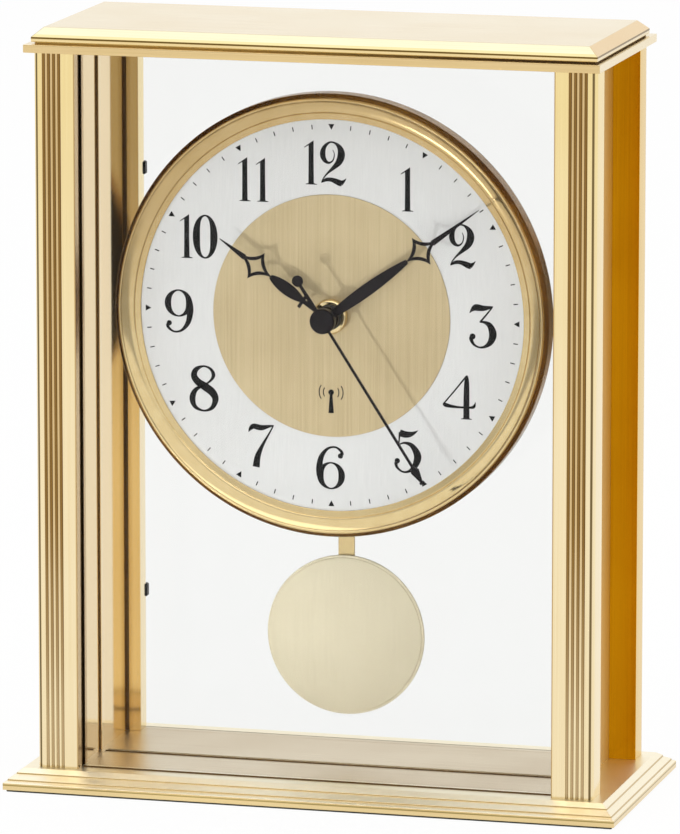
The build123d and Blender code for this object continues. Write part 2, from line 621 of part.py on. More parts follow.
# Bezel: upright wall, sloping shoulder, beaded front edge, hollow band, flat lip over the dial
bead_y = DIAL_GLASS_FRONT - BEZEL_DEPTH + BEZEL_BEAD / 2
wall_x = BEZEL_RADIUS - BEZEL_WALL
lip_x = wall_x - BEZEL_LIP
lip_front_y = DIAL_FACE_Y - BEZEL_LIP_THICKNESS
bead_x = BEZEL_RADIUS - BEZEL_SHOULDER
with BuildPart() as bezel:
    with BuildSketch(radial_plane(DIAL_Z)):
        with BuildLine():
            Polyline(
                (lip_x + BEZEL_LIP_FACE, lip_front_y),
                (lip_x, lip_front_y),
                (lip_x, DIAL_FACE_Y),
                (wall_x, DIAL_FACE_Y),
                (wall_x, DIAL_GLASS_FRONT),
                (BEZEL_RADIUS, DIAL_GLASS_FRONT),
                (BEZEL_RADIUS, bead_y + BEZEL_SHOULDER),
                (bead_x, bead_y),
            )
            SagittaArc((bead_x, bead_y), (bead_x - BEZEL_BEAD, bead_y), BEZEL_BEAD / 2)
            SagittaArc((bead_x - BEZEL_BEAD, bead_y), (lip_x + BEZEL_LIP_FACE, lip_front_y), -BEZEL_COVE)
        make_face()
    revolve(axis=DIAL_AXIS)
save(bezel, "bezel")

# Dial pan, dial disc and centre disc
dial_radius = wall_x - DIAL_CLEARANCE
bush_hole = BUSH_RADIUS + DIAL_CLEARANCE
with BuildPart() as dial_pan:
    with BuildSketch(radial_plane(DIAL_Z)):
        with BuildLine():
            Polyline(
                (bush_hole, DIAL_GLASS_FRONT),
                (dial_radius, DIAL_GLASS_FRONT),
                (dial_radius, DIAL_BACK_Y),
                (dial_radius - PAN_WALL, DIAL_BACK_Y),
                (dial_radius - PAN_WALL, DIAL_GLASS_FRONT - PAN_WALL),
                (PAN_BOSS_RADIUS, DIAL_GLASS_FRONT - PAN_WALL),
                (PAN_BOSS_RADIUS, DIAL_BACK_Y),
                (bush_hole, DIAL_BACK_Y),
                close=True,
            )
        make_face()
    revolve(axis=DIAL_AXIS)
save(dial_pan, "dial_pan")

for name, outer, back, thickness in (
    ("dial_plate", dial_radius, DIAL_BACK_Y, DIAL_THICKNESS),
    ("dial_centre", CENTRE_RADIUS, DIAL_FACE_Y, CENTRE_THICKNESS),
):
    with BuildPart() as disc:
        with BuildSketch(front_plane(back)):
            Circle(outer)
            Circle(bush_hole, mode=Mode.SUBTRACT)
        extrude(amount=thickness)
    save(disc, name)

# Round nut that clamps dial, pan, pane and movement together
with BuildPart() as hand_nut:
    with BuildSketch(front_plane(CENTRE_FACE_Y)):
        Circle(NUT_RADIUS)
        Circle(BUSH_RADIUS + SCREW_CLEARANCE, mode=Mode.SUBTRACT)
    extrude(amount=NUT_HEIGHT)
    outer_edges = hand_nut.edges().filter_by(GeomType.CIRCLE).group_by(Axis.Y)[0].sort_by(SortBy.RADIUS)[-1:]
    chamfer(outer_edges, NUT_HEIGHT / 4)
save(hand_nut, "hand_nut")

# Movement housing: cup with a long bush, battery shelf, posts, stud and a slot for the pendulum
housing_mid = DIAL_Z + (HOUSING_RISE - HOUSING_DROP) / 2
housing_tall = HOUSING_RISE + HOUSING_DROP
with BuildPart() as movement_housing:
    with BuildSketch(front_plane(DIAL_GLASS_REAR, 0, housing_mid)):
        RectangleRounded(HOUSING_WIDTH, housing_tall, HOUSING_ROUND)
    extrude(amount=-HOUSING_DEPTH)
    with BuildSketch(front_plane(HOUSING_INSIDE_Y, 0, housing_mid)):
        RectangleRounded(
            HOUSING_WIDTH - 2 * HOUSING_WALL,
            housing_tall - 2 * HOUSING_WALL,
            HOUSING_ROUND - HOUSING_WALL,
        )
    extrude(amount=HOUSING_WALL - HOUSING_DEPTH, mode=Mode.SUBTRACT)
    with BuildSketch(front_plane(HOUSING_INSIDE_Y, 0, DIAL_Z + SHELF_HEIGHT + HOUSING_WALL / 2)):
        Rectangle(2 * HOUSING_INNER_X, HOUSING_WALL)
    extrude(amount=HOUSING_WALL - HOUSING_DEPTH)
    with BuildSketch(front_plane(HOUSING_INSIDE_Y, 0, 0)):
        with Locations(*POST_SPOTS):
            Circle(POST_RADIUS)
    extrude(amount=HOUSING_WALL - HOUSING_DEPTH)
    with BuildSketch(front_plane(HOUSING_INSIDE_Y, 0, 0)):
        with Locations(*TRAIN_POSTS):
            Circle(TRAIN_POST_RADIUS)
    extrude(amount=-TRAIN_PLATE_SPACE)
    with BuildSketch(front_plane(HOUSING_INSIDE_Y, MOTION_REACH)):
        Circle(STUD_RADIUS)
    extrude(amount=HOUSING_INSIDE_Y - DRIVE_WHEEL_Y)
    with BuildSketch(front_plane(DIAL_GLASS_REAR)):
        Circle(BUSH_RADIUS)
    extrude(amount=DIAL_GLASS_REAR - BUSH_FRONT_Y)
    with BuildSketch(front_plane(HOUSING_INSIDE_Y)):
        Circle(HOUR_PIPE_RADIUS + RUNNING_FIT)
    extrude(amount=HOUSING_INSIDE_Y - BUSH_FRONT_Y, mode=Mode.SUBTRACT)
    with BuildSketch(Plane.XY.offset(COVER_BOTTOM)):
        with Locations((0, HANGER_MID_Y)):
            Rectangle(SWING_SLOT_WIDTH, SWING_SLOT_DEPTH)
    extrude(amount=HOUSING_WALL, mode=Mode.SUBTRACT)
    with BuildSketch(front_plane(HOUSING_INSIDE_Y, 0, PIVOT_Z)):
        Circle(PIVOT_RADIUS + SCREW_CLEARANCE)
    extrude(amount=PIVOT_SEAT, mode=Mode.SUBTRACT)
    with BuildSketch(front_plane(HOUSING_REAR_Y, 0, 0)):
        with Locations(*POST_SPOTS):
            Circle(COVER_SCREW_RADIUS + SCREW_CLEARANCE)
    extrude(amount=COVER_SCREW_GRIP, mode=Mode.SUBTRACT)
save(movement_housing, "movement_housing")

# Rear cover below the open battery bay
button_hole = BUTTON_RADIUS + BUTTON_FIT
with BuildPart() as movement_cover:
    with BuildSketch(front_plane(HOUSING_REAR_Y, 0, COVER_MID)) as cover_face:
        Rectangle(HOUSING_WIDTH, COVER_TOP - COVER_BOTTOM)
        fillet(cover_face.vertices().group_by(Axis.Y)[0], HOUSING_ROUND)
    extrude(amount=-COVER_THICKNESS)
    with BuildSketch(front_plane(HOUSING_REAR_Y, 0, 0)):
        with Locations(*POST_SPOTS):
            Circle(COVER_SCREW_RADIUS + SCREW_CLEARANCE)
        with Locations((-BUTTON_SPREAD, BUTTON_Z), (BUTTON_SPREAD, BUTTON_Z)):
            Circle(button_hole)
    extrude(amount=-COVER_THICKNESS, mode=Mode.SUBTRACT)
    with BuildSketch(front_plane(HOUSING_REAR_Y, 0, PIVOT_Z)):
        Circle(PIVOT_RADIUS + SCREW_CLEARANCE)
    extrude(amount=-PIVOT_SEAT, mode=Mode.SUBTRACT)
save(movement_cover, "movement_cover")

with BuildPart() as cover_screws:
    cover_rear_y = HOUSING_REAR_Y + COVER_THICKNESS
    with BuildSketch(front_plane(cover_rear_y, 0, 0)):
        with Locations(*POST_SPOTS):
            Circle(COVER_SCREW_RADIUS)
    extrude(amount=COVER_THICKNESS + COVER_SCREW_GRIP)
    with BuildSketch(front_plane(cover_rear_y, 0, 0)):
        with Locations(*POST_SPOTS):
            Circle(COVER_SCREW_HEAD)
    extrude(amount=-COVER_SCREW_HEIGHT)
save(cover_screws, "cover_screws")

# Battery on its shelf, with a sprung contact at each end
battery_y = HOUSING_REAR_Y - BATTERY_RADIUS + BATTERY_CLEARANCE
battery_z = DIAL_Z + SHELF_TOP + BATTERY_RADIUS
battery_end = -(BATTERY_LENGTH + BATTERY_NUB) / 2
with BuildPart() as battery:
    with BuildSketch(Plane(origin=(battery_end, battery_y, battery_z), z_dir=(1, 0, 0))):
        Circle(BATTERY_RADIUS)
    extrude(amount=BATTERY_LENGTH)
    fillet(battery.edges().filter_by(GeomType.CIRCLE), BATTERY_NUB)
    with BuildSketch(Plane(origin=(battery_end + BATTERY_LENGTH, battery_y, battery_z), z_dir=(1, 0, 0))):
        Circle(BATTERY_NUB_RADIUS)
    extrude(amount=BATTERY_NUB)
save(battery, "battery")

with BuildPart() as battery_contacts:
    for side in (-1, 1):
        wall = side * HOUSING_INNER_X
        tip = -side * battery_end
        back = side * CONTACT_THICKNESS
        half_span = BATTERY_RADIUS / 2
        half_back = half_span * (1 - back / (wall - tip))
        with BuildSketch(Plane.XY.offset(battery_z - CONTACT_WIDTH / 2)):
            Polygon(
                (wall, battery_y - half_span),
                (tip, battery_y),
                (wall, battery_y + half_span),
                (wall, battery_y + half_back),
                (tip + back, battery_y),
                (wall, battery_y - half_back),
                align=None,
            )
        extrude(amount=CONTACT_WIDTH)
save(battery_contacts, "battery_contacts")

# Train plate on its posts: rear bearing of the second arbor, posts for the circuit board
train_top = DIAL_Z + SHELF_HEIGHT - PANE_CLEARANCE
train_bottom = DIAL_Z - TRAIN_PLATE_DROP
board_posts = [
    (side * (BOARD_WIDTH / 2 - BOARD_POST_RADIUS), BUTTON_Z + rise * (BOARD_HEIGHT / 2 - BOARD_POST_RADIUS))
    for side in (-1, 1)
    for rise in (-1, 1)
]
with BuildPart() as train_plate:
    with BuildSketch(front_plane(TRAIN_PLATE_Y, 0, (train_top + train_bottom) / 2)):
        Rectangle(2 * (TRAIN_POST_SPREAD + TRAIN_POST_RADIUS), train_top - train_bottom)
    extrude(amount=-TRAIN_PLATE)
    with BuildSketch(front_plane(TRAIN_PLATE_Y, 0, 0)):
        with Locations(*[spot for spot in POST_SPOTS if spot[1] > train_bottom]):
            Circle(POST_RADIUS + PANE_CLEARANCE)
        with Locations((0, DIAL_Z)):
            Circle(SECOND_ARBOR_RADIUS + RUNNING_FIT)
    extrude(amount=-TRAIN_PLATE, mode=Mode.SUBTRACT)
    with BuildSketch(front_plane(TRAIN_REAR_Y, 0, 0)):
        with Locations(*board_posts):
            Circle(BOARD_POST_RADIUS)
    extrude(amount=-BOARD_SPACE)
save(train_plate, "train_plate")

with BuildPart() as circuit_board:
    with BuildSketch(front_plane(BOARD_Y, 0, BUTTON_Z)):
        Rectangle(BOARD_WIDTH, BOARD_HEIGHT)
    extrude(amount=-BOARD_THICKNESS)
save(circuit_board, "circuit_board")

# Motors: one for the minute and hour hands, one for the second hand
for name, side in (("minute_motor", -1), ("second_motor", 1)):
    coil_y = TRAIN_REAR_Y + MOTOR_FOOT / 2 + MOTOR_FLANGE_RADIUS
    start_x = side * MOTOR_SPREAD - MOTOR_LENGTH / 2
    motor_z = DIAL_Z + MOTOR_RISE
    with BuildPart() as motor:
        with BuildSketch(front_plane(TRAIN_REAR_Y, side * MOTOR_SPREAD, motor_z)):
            Rectangle(MOTOR_LENGTH, 2 * MOTOR_COIL_RADIUS)
        extrude(amount=-MOTOR_FOOT)
        with BuildSketch(Plane(origin=(start_x, coil_y, motor_z), z_dir=(1, 0, 0))):
            Circle(MOTOR_COIL_RADIUS)
        extrude(amount=MOTOR_LENGTH)
        for flange_x in (start_x, start_x + MOTOR_LENGTH - MOTOR_FOOT):
            with BuildSketch(Plane(origin=(flange_x, coil_y, motor_z), z_dir=(1, 0, 0))):
                Circle(MOTOR_FLANGE_RADIUS)
            extrude(amount=MOTOR_FOOT)
    save(motor, name)

# Radio antenna standing on the housing's bottom wall
antenna_z = COVER_BOTTOM + HOUSING_WALL
with BuildPart() as ferrite_antenna:
    antenna_spot = (-ANTENNA_OFFSET, HANGER_MID_Y)
    with BuildSketch(Plane.XY.offset(antenna_z)):
        with Locations(antenna_spot):
            Circle(ANTENNA_RADIUS)
    extrude(amount=ANTENNA_LENGTH)
    with BuildSketch(Plane.XY.offset(antenna_z + (ANTENNA_LENGTH - ANTENNA_COIL_LENGTH) / 2)):
        with Locations(antenna_spot):
            Circle(ANTENNA_COIL_RADIUS)
    extrude(amount=ANTENNA_COIL_LENGTH)
save(ferrite_antenna, "ferrite_antenna")

# Pendulum drive coil on the housing's front wall, opposite the magnet
with BuildPart() as drive_coil:
    with BuildSketch(front_plane(HOUSING_INSIDE_Y, 0, MAGNET_Z)):
        Circle(COIL_RADIUS)
        Circle(COIL_CORE_RADIUS, mode=Mode.SUBTRACT)
    extrude(amount=-COIL_HEIGHT)
    with BuildSketch(front_plane(HOUSING_INSIDE_Y + COIL_FLANGE, 0, MAGNET_Z)):
        Circle(COIL_RADIUS)
        Circle(COIL_RADIUS - COIL_GROOVE, mode=Mode.SUBTRACT)
    extrude(amount=2 * COIL_FLANGE - COIL_HEIGHT, mode=Mode.SUBTRACT)
save(drive_coil, "drive_coil")

with BuildPart() as pivot_pin:
    with BuildSketch(front_plane(HOUSING_INSIDE_Y - PIVOT_SEAT, 0, PIVOT_Z)):
        Circle(PIVOT_RADIUS)
    extrude(amount=HOUSING_INSIDE_Y - HOUSING_REAR_Y - 2 * PIVOT_SEAT)
save(pivot_pin, "pivot_pin")

# Motion work: hour wheel with its pipe, minute arbor with its pinion, motion wheel with its pinion
hour_pipe_end = HOUR_HAND_Y - HAND_BOSS - PIPE_END
minute_pipe_end = MINUTE_HAND_Y - HAND_BOSS - PIPE_END
second_arbor_end = SECOND_HAND_Y - HAND_BOSS
with BuildPart() as hour_wheel:
    with BuildSketch(front_plane(HOUR_WHEEL_Y)):
        add(gear_face(HOUR_TEETH, HOUR_MODULE))
    extrude(amount=WHEEL_THICKNESS)
    with BuildSketch(front_plane(HOUR_WHEEL_Y)):
        Circle(HOUR_PIPE_RADIUS)
    extrude(amount=HOUR_WHEEL_Y - hour_pipe_end)
    with BuildSketch(front_plane(HOUR_WHEEL_Y)):
        Circle(MINUTE_PIPE_RADIUS + RUNNING_FIT)
    extrude(amount=HOUR_WHEEL_Y - hour_pipe_end, mode=Mode.SUBTRACT)
save(hour_wheel, "hour_wheel")

with BuildPart() as minute_arbor:
    with BuildSketch(front_plane(DRIVE_WHEEL_Y)):
        Circle(DRIVE_WHEEL_RADIUS)
    extrude(amount=WHEEL_THICKNESS)
    with BuildSketch(front_plane(DRIVE_WHEEL_Y)):
        add(gear_face(MINUTE_TEETH, MOTION_MODULE))
    extrude(amount=2 * WHEEL_THICKNESS + WHEEL_GAP)
    with BuildSketch(front_plane(DRIVE_WHEEL_Y)):
        Circle(MINUTE_PIPE_RADIUS)
    extrude(amount=DRIVE_WHEEL_Y - minute_pipe_end)
    with BuildSketch(front_plane(DRIVE_WHEEL_Y)):
        Circle(SECOND_ARBOR_RADIUS + RUNNING_FIT)
    extrude(amount=DRIVE_WHEEL_Y - minute_pipe_end, mode=Mode.SUBTRACT)
save(minute_arbor, "minute_arbor")

with BuildPart() as motion_wheel:
    with BuildSketch(front_plane(MOTION_WHEEL_Y, MOTION_REACH)):
        add(gear_face(MOTION_TEETH, MOTION_MODULE, 180 / MOTION_TEETH))
    extrude(amount=WHEEL_THICKNESS)
    with BuildSketch(front_plane(MOTION_WHEEL_Y, MOTION_REACH)):
        add(gear_face(MOTION_PINION_TEETH, HOUR_MODULE, 180 / MOTION_PINION_TEETH))
    extrude(amount=2 * WHEEL_THICKNESS + WHEEL_GAP)
    with BuildSketch(front_plane(MOTION_WHEEL_Y, MOTION_REACH)):
        Circle(STUD_RADIUS + RUNNING_FIT)
    extrude(amount=2 * WHEEL_THICKNESS + WHEEL_GAP, mode=Mode.SUBTRACT)
save(motion_wheel, "motion_wheel")

second_wheel_y = DRIVE_WHEEL_Y + WHEEL_GAP + WHEEL_THICKNESS
with BuildPart() as second_arbor:
    with BuildSketch(front_plane(second_wheel_y)):
        Circle(SECOND_WHEEL_RADIUS)
    extrude(amount=WHEEL_THICKNESS)
    with BuildSketch(front_plane(TRAIN_REAR_Y)):
        Circle(SECOND_ARBOR_RADIUS)
    extrude(amount=TRAIN_REAR_Y - second_arbor_end)
save(second_arbor, "second_arbor")

# Hands
with BuildPart() as hour_hand:
    with BuildSketch(hand_plane(HOUR_HAND_Y, HOUR_ANGLE)):
        Circle(HOUR_BOSS_RADIUS)
    extrude(amount=HAND_BOSS)
    with BuildSketch(hand_plane(HOUR_HAND_Y - HAND_BOSS + HAND_THICKNESS, HOUR_ANGLE)):
        with Locations((0, HOUR_COLLAR / 2)):
            Rectangle(2 * STEM_HALF_WIDTH, HOUR_COLLAR)
        with Locations((0, HOUR_COLLAR)):
            Rectangle(HOUR_COLLAR_WIDTH, HOUR_COLLAR_THICKNESS)
        add(leaf(HOUR_COLLAR, HOUR_LEAF, HOUR_HORN - DIAMOND_HALF + HORN_HOLLOW))
        add(hollow_diamond(HOUR_HORN, DIAMOND_HALF, HORN_REACH, HORN_HOLLOW))
        add(spear(HOUR_HORN + DIAMOND_HALF - 2 * HORN_HOLLOW, HOUR_LENGTH))
        add(hollow_diamond(HOUR_HORN, WINDOW_HALF, WINDOW_REACH, WINDOW_HOLLOW), mode=Mode.SUBTRACT)
    extrude(amount=HAND_THICKNESS)
    with BuildSketch(hand_plane(HOUR_HAND_Y, HOUR_ANGLE)):
        Circle(HOUR_PIPE_RADIUS + HAND_FIT)
    extrude(amount=HAND_BOSS, mode=Mode.SUBTRACT)
save(hour_hand, "hour_hand")

with BuildPart() as minute_hand:
    with BuildSketch(hand_plane(MINUTE_HAND_Y, MINUTE_ANGLE)):
        Circle(MINUTE_BOSS_RADIUS)
    extrude(amount=HAND_BOSS)
    with BuildSketch(hand_plane(MINUTE_HAND_Y - HAND_BOSS + HAND_THICKNESS, MINUTE_ANGLE)):
        add(leaf(0, MINUTE_LEAF, MINUTE_HORN - DIAMOND_HALF + HORN_HOLLOW))
        add(hollow_diamond(MINUTE_HORN, DIAMOND_HALF, HORN_REACH, HORN_HOLLOW))
        add(spear(MINUTE_HORN + DIAMOND_HALF - 2 * HORN_HOLLOW, MINUTE_LENGTH))
        add(hollow_diamond(MINUTE_HORN, WINDOW_HALF, WINDOW_REACH, WINDOW_HOLLOW), mode=Mode.SUBTRACT)
    extrude(amount=HAND_THICKNESS)
    with BuildSketch(hand_plane(MINUTE_HAND_Y, MINUTE_ANGLE)):
        Circle(MINUTE_PIPE_RADIUS + HAND_FIT)
    extrude(amount=HAND_BOSS, mode=Mode.SUBTRACT)
save(minute_hand, "minute_hand")

with BuildPart() as second_hand:
    arrow_start = SECOND_LENGTH - SECOND_ARROW
    half_line = SECOND_WIDTH / 2
    with BuildSketch(hand_plane(SECOND_HAND_Y - HAND_BOSS + HAND_THICKNESS, SECOND_ANGLE)):
        with Locations((0, SECOND_LENGTH / 2)):
            Rectangle(SECOND_WIDTH, SECOND_LENGTH)
        Polygon(
            (half_line, arrow_start - SECOND_ARROW_HALF_WIDTH),
            (SECOND_ARROW_HALF_WIDTH, arrow_start),
            (half_line, SECOND_LENGTH - SECOND_WIDTH),
            (SECOND_WIDTH, SECOND_LENGTH - SECOND_WIDTH),
            (SECOND_WIDTH, SECOND_LENGTH),
            (-SECOND_WIDTH, SECOND_LENGTH),
            (-SECOND_WIDTH, SECOND_LENGTH - SECOND_WIDTH),
            (-half_line, SECOND_LENGTH - SECOND_WIDTH),
            (-SECOND_ARROW_HALF_WIDTH, arrow_start),
            (-half_line, arrow_start - SECOND_ARROW_HALF_WIDTH),
            align=None,
        )
        Polygon(
            (half_line, -SECOND_TAIL),
            (SECOND_WIDTH, 0),
            (-SECOND_WIDTH, 0),
            (-half_line, -SECOND_TAIL),
            align=None,
        )
        with Locations((0, -SECOND_TAIL)):
            Circle(SECOND_DISC_RADIUS)
    extrude(amount=HAND_THICKNESS)
    with BuildSketch(hand_plane(SECOND_HAND_Y, SECOND_ANGLE)):
        Circle(CAP_RADIUS)
    extrude(amount=CAP_HEIGHT)
    fillet(second_hand.edges().filter_by(GeomType.CIRCLE).group_by(Axis.Y)[0], CAP_ROUND)
    with BuildSketch(hand_plane(SECOND_HAND_Y, SECOND_ANGLE)):
        Circle(SECOND_ARBOR_RADIUS + HAND_FIT)
    extrude(amount=HAND_BOSS, mode=Mode.SUBTRACT)
save(second_hand, "second_hand")

# Pendulum: hanger on the pivot pin, magnet, rod on the hanger's hook, bob and its screw
with BuildPart() as pendulum_hanger:
    with BuildSketch(front_plane(PENDULUM_DEPTH, 0, PIVOT_Z)):
        with Locations((0, -(HANGER_HOOK_DROP + HANGER_END) / 2)):
            Rectangle(HANGER_WIDTH, HANGER_HOOK_DROP + HANGER_END)
        with Locations((0, -MAGNET_DROP)):
            Circle(MAGNET_RADIUS + MAGNET_RING)
    extrude(amount=HANGER_THICKNESS)
    with BuildSketch(front_plane(HANGER_MID_Y + HANGER_BOSS_LENGTH / 2, 0, PIVOT_Z)):
        Circle(HANGER_BOSS_RADIUS)
    extrude(amount=HANGER_BOSS_LENGTH)
    with BuildSketch(front_plane(HANGER_MID_Y + HANGER_BOSS_LENGTH / 2, 0, PIVOT_Z)):
        Circle(PIVOT_RADIUS + RUNNING_FIT)
    extrude(amount=HANGER_BOSS_LENGTH, mode=Mode.SUBTRACT)
    with BuildSketch(front_plane(PENDULUM_DEPTH, 0, MAGNET_Z)):
        Circle(MAGNET_RADIUS + HAND_FIT)
    extrude(amount=HANGER_THICKNESS, mode=Mode.SUBTRACT)
    with BuildSketch(front_plane(PENDULUM_DEPTH, 0, HOOK_Z)):
        Circle(HOOK_RADIUS)
    extrude(amount=-HOOK_LENGTH)
save(pendulum_hanger, "pendulum_hanger")

with BuildPart() as pendulum_magnet:
    with BuildSketch(front_plane(HANGER_MID_Y + MAGNET_THICKNESS / 2, 0, MAGNET_Z)):
        Circle(MAGNET_RADIUS)
    extrude(amount=MAGNET_THICKNESS)
save(pendulum_magnet, "pendulum_magnet")

rod_top = HOOK_Z + ROD_WIDTH / 2
rod_bottom = BOB_Z - ROD_BELOW_BOB_CENTRE
with BuildPart() as pendulum_rod:
    with BuildSketch(front_plane(PENDULUM_DEPTH, 0, 0)):
        with Locations((0, (rod_top + rod_bottom) / 2)):
            SlotOverall(rod_top - rod_bottom, ROD_WIDTH, rotation=90)
        with Locations((0, HOOK_Z)):
            Circle(HOOK_RADIUS + HAND_FIT, mode=Mode.SUBTRACT)
        with Locations((0, BOB_Z)):
            Circle(BOB_SCREW_RADIUS + SCREW_CLEARANCE, mode=Mode.SUBTRACT)
    extrude(amount=-ROD_THICKNESS)
save(pendulum_rod, "pendulum_rod")

bob_edge_y = PENDULUM_DEPTH - BOB_EDGE
crown_radius = BOB_RADIUS - BOB_RIM
with BuildPart() as pendulum_bob:
    with BuildSketch(radial_plane(BOB_Z)):
        with BuildLine():
            Polyline(
                (0, bob_edge_y - BOB_CROWN),
                (0, PENDULUM_DEPTH),
                (BOB_RADIUS, PENDULUM_DEPTH),
                (BOB_RADIUS, bob_edge_y),
                (crown_radius, bob_edge_y),
                (crown_radius, bob_edge_y - BOB_RIM_STEP),
            )
            TangentArc((0, bob_edge_y - BOB_CROWN), (crown_radius, bob_edge_y - BOB_RIM_STEP), tangent=(1, 0))
        make_face()
    revolve(axis=Axis((0, 0, BOB_Z), (0, 1, 0)))
    with BuildSketch(front_plane(PENDULUM_DEPTH, 0, BOB_Z)):
        Circle(BOB_SCREW_RADIUS + SCREW_CLEARANCE)
    extrude(amount=BOB_SCREW_GRIP, mode=Mode.SUBTRACT)
save(pendulum_bob, "pendulum_bob")

with BuildPart() as bob_screw:
    rod_rear_y = PENDULUM_DEPTH + ROD_THICKNESS
    with BuildSketch(front_plane(rod_rear_y, 0, BOB_Z)):
        Circle(BOB_SCREW_RADIUS)
    extrude(amount=ROD_THICKNESS + BOB_SCREW_GRIP)
    with BuildSketch(front_plane(rod_rear_y, 0, BOB_Z)):
        Circle(BOB_SCREW_HEAD)
    extrude(amount=-BOB_SCREW_HEIGHT)
save(bob_screw, "bob_screw")

# Push buttons in the rear cover, held by their inner flanges
flange_rear_y = HOUSING_REAR_Y - BUTTON_PLAY
button_front_y = BOARD_Y + BOARD_THICKNESS + BUTTON_TRAVEL + BUTTON_PLAY
for name, side in (("set_button", -1), ("receive_button", 1)):
    with BuildPart() as button:
        with BuildSketch(front_plane(cover_rear_y + BUTTON_PROUD, side * BUTTON_SPREAD, BUTTON_Z)):
            Circle(BUTTON_RADIUS)
        extrude(amount=cover_rear_y + BUTTON_PROUD - button_front_y)
        fillet(button.edges().group_by(Axis.Y)[-1], BUTTON_PLAY)
        with BuildSketch(front_plane(flange_rear_y, side * BUTTON_SPREAD, BUTTON_Z)):
            Circle(BUTTON_FLANGE_RADIUS)
        extrude(amount=BUTTON_FLANGE)
    save(button, name)
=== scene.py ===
from math import cos, radians, sin

import bmesh
import bpy
import numpy as np
from mathutils import Matrix


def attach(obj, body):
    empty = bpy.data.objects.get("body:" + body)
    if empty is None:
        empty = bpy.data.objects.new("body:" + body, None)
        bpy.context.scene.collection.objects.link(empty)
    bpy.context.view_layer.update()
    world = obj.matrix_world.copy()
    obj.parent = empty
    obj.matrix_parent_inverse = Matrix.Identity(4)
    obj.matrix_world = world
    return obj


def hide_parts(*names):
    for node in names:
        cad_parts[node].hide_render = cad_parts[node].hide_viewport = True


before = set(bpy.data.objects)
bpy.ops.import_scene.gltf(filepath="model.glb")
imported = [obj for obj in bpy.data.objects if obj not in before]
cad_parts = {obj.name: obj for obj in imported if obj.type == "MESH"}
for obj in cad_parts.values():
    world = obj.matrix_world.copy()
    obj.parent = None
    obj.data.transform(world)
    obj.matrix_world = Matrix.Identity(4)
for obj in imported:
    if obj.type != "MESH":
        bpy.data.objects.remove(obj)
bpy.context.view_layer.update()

# Desk pendulum clock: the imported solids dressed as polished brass, glass and a printed dial.
# Surfaces are worked out in millimetres, in the frame of the part's source, and put into meshes in metres.
MM = 0.001

# Case
HALF_WIDTH = 93.0
HALF_DEPTH = 35.5
FLOOR_Z = 7.0
CEILING_Z = 242.3
FRONT_PANE_Y = (-31.0, -28.0)
FRONT_PANE_EDGE = 80.5
DIAL_PANE_EDGE = 79.85  # edge fillets reach a hair into the dial's pane
DIAL_STRIP_Y = (-6.6, -6.3)
DIAL_FILLET_Y = (-6.3, -3.5)
DIAL_STRIP_WIDTH = 0.4
SEAL_FACE = 79.15  # seals end almost flush with the columns
SEAL_WALL = 0.7
PANE_FEET = (-31.0, -6.5, 32.6)  # rear edges of the three strips of painted shade along the panes' feet
FOOT_STRIPS = ((0.9, 0.30), (0.8, 0.25), (0.3, 0.08))  # width and height of each of these strips
FOOT_REACH = 78.5
STRIP_SINK = 0.1  # strips and margins start this far inside the floor
STRIP_ROUND = 0.1
MARGIN_START = 78.4  # inner edge of the floor's side margins
MARGIN_REACH = 25.0
MARGIN_RISE = 0.04
REAR_MARGIN = (78.3, 1.9)  # half sizes
REAR_MARGIN_Y = 30.5
PANEL_FACE = 80.6  # inner face of a side panel
PANEL_MIDDLE = 82.3  # middle of its thickness
PANEL_GROOVE = (9.0, 13.1)  # groove for a side panel, from the outer face of its column
PANEL_SEAT = 2.2
COLUMN_WIDTH = 13.8
REAR_COLUMN_WIDTH = 17.2
COLUMN_DEPTH = 10.5
COLUMN_END = HALF_DEPTH - COLUMN_DEPTH
COLUMN_ROUND = 2.0
COLUMN_EDGE = 0.12  # bevel along a column's sharp edges
GLASS_SEAT = 2.0
FRONT_SEAT = (3.8, 8.2)  # groove for the front pane, from the front face of its column
REAR_SEAT = (0.0, 3.7)  # rebate for the clips, from the rear face of its column
FLUTE_COUNT = 4
FLUTE_PITCH = 1.70
FLUTE_START = 3.5
FLUTE_RADIUS = 0.5
FLUTE_DEPTH = 0.42

# Base and top
FELT = (101.2, 44.0)  # half sizes, like the other pairs here
FELT_TOP = 0.8
PLATEAU = (97.0, 38.0)
PLATEAU_RUN = 1.5  # start of the profile, inside the flat top
BAND_RUNS_SIDE = (1.8, 2.2, 1.2)
BAND_RUNS_FRONT = (2.4, 3.0, 1.6)
BAND_DROPS = (1.25, 1.25, 0.6)
BAND_STEP = 0.45
FLOOR_RECESS = (78.7, 28.4)
FLOOR_RECESS_MIDDLE = 0.4
FLOOR_RECESS_DEPTH = 0.5
FLANGE = (95.0, 40.0)
FLANGE_TOP_Z = 244.9
SPACER = (92.4, 35.6)
SLAB = (93.4, 36.6)
SLAB_Z = 245.45
SLAB_FACE_Z = 247.0
SLAB_TOP_Z = 250.0
BEVEL_RUN = 3.4
PLATE_RUN = 2.0  # start and end of a plate's profile, inside its faces
MITRE_ROUND = 0.35  # rounding of the upright corners of base and top
EDGE_ROUND = 0.22  # rounding of their level edges
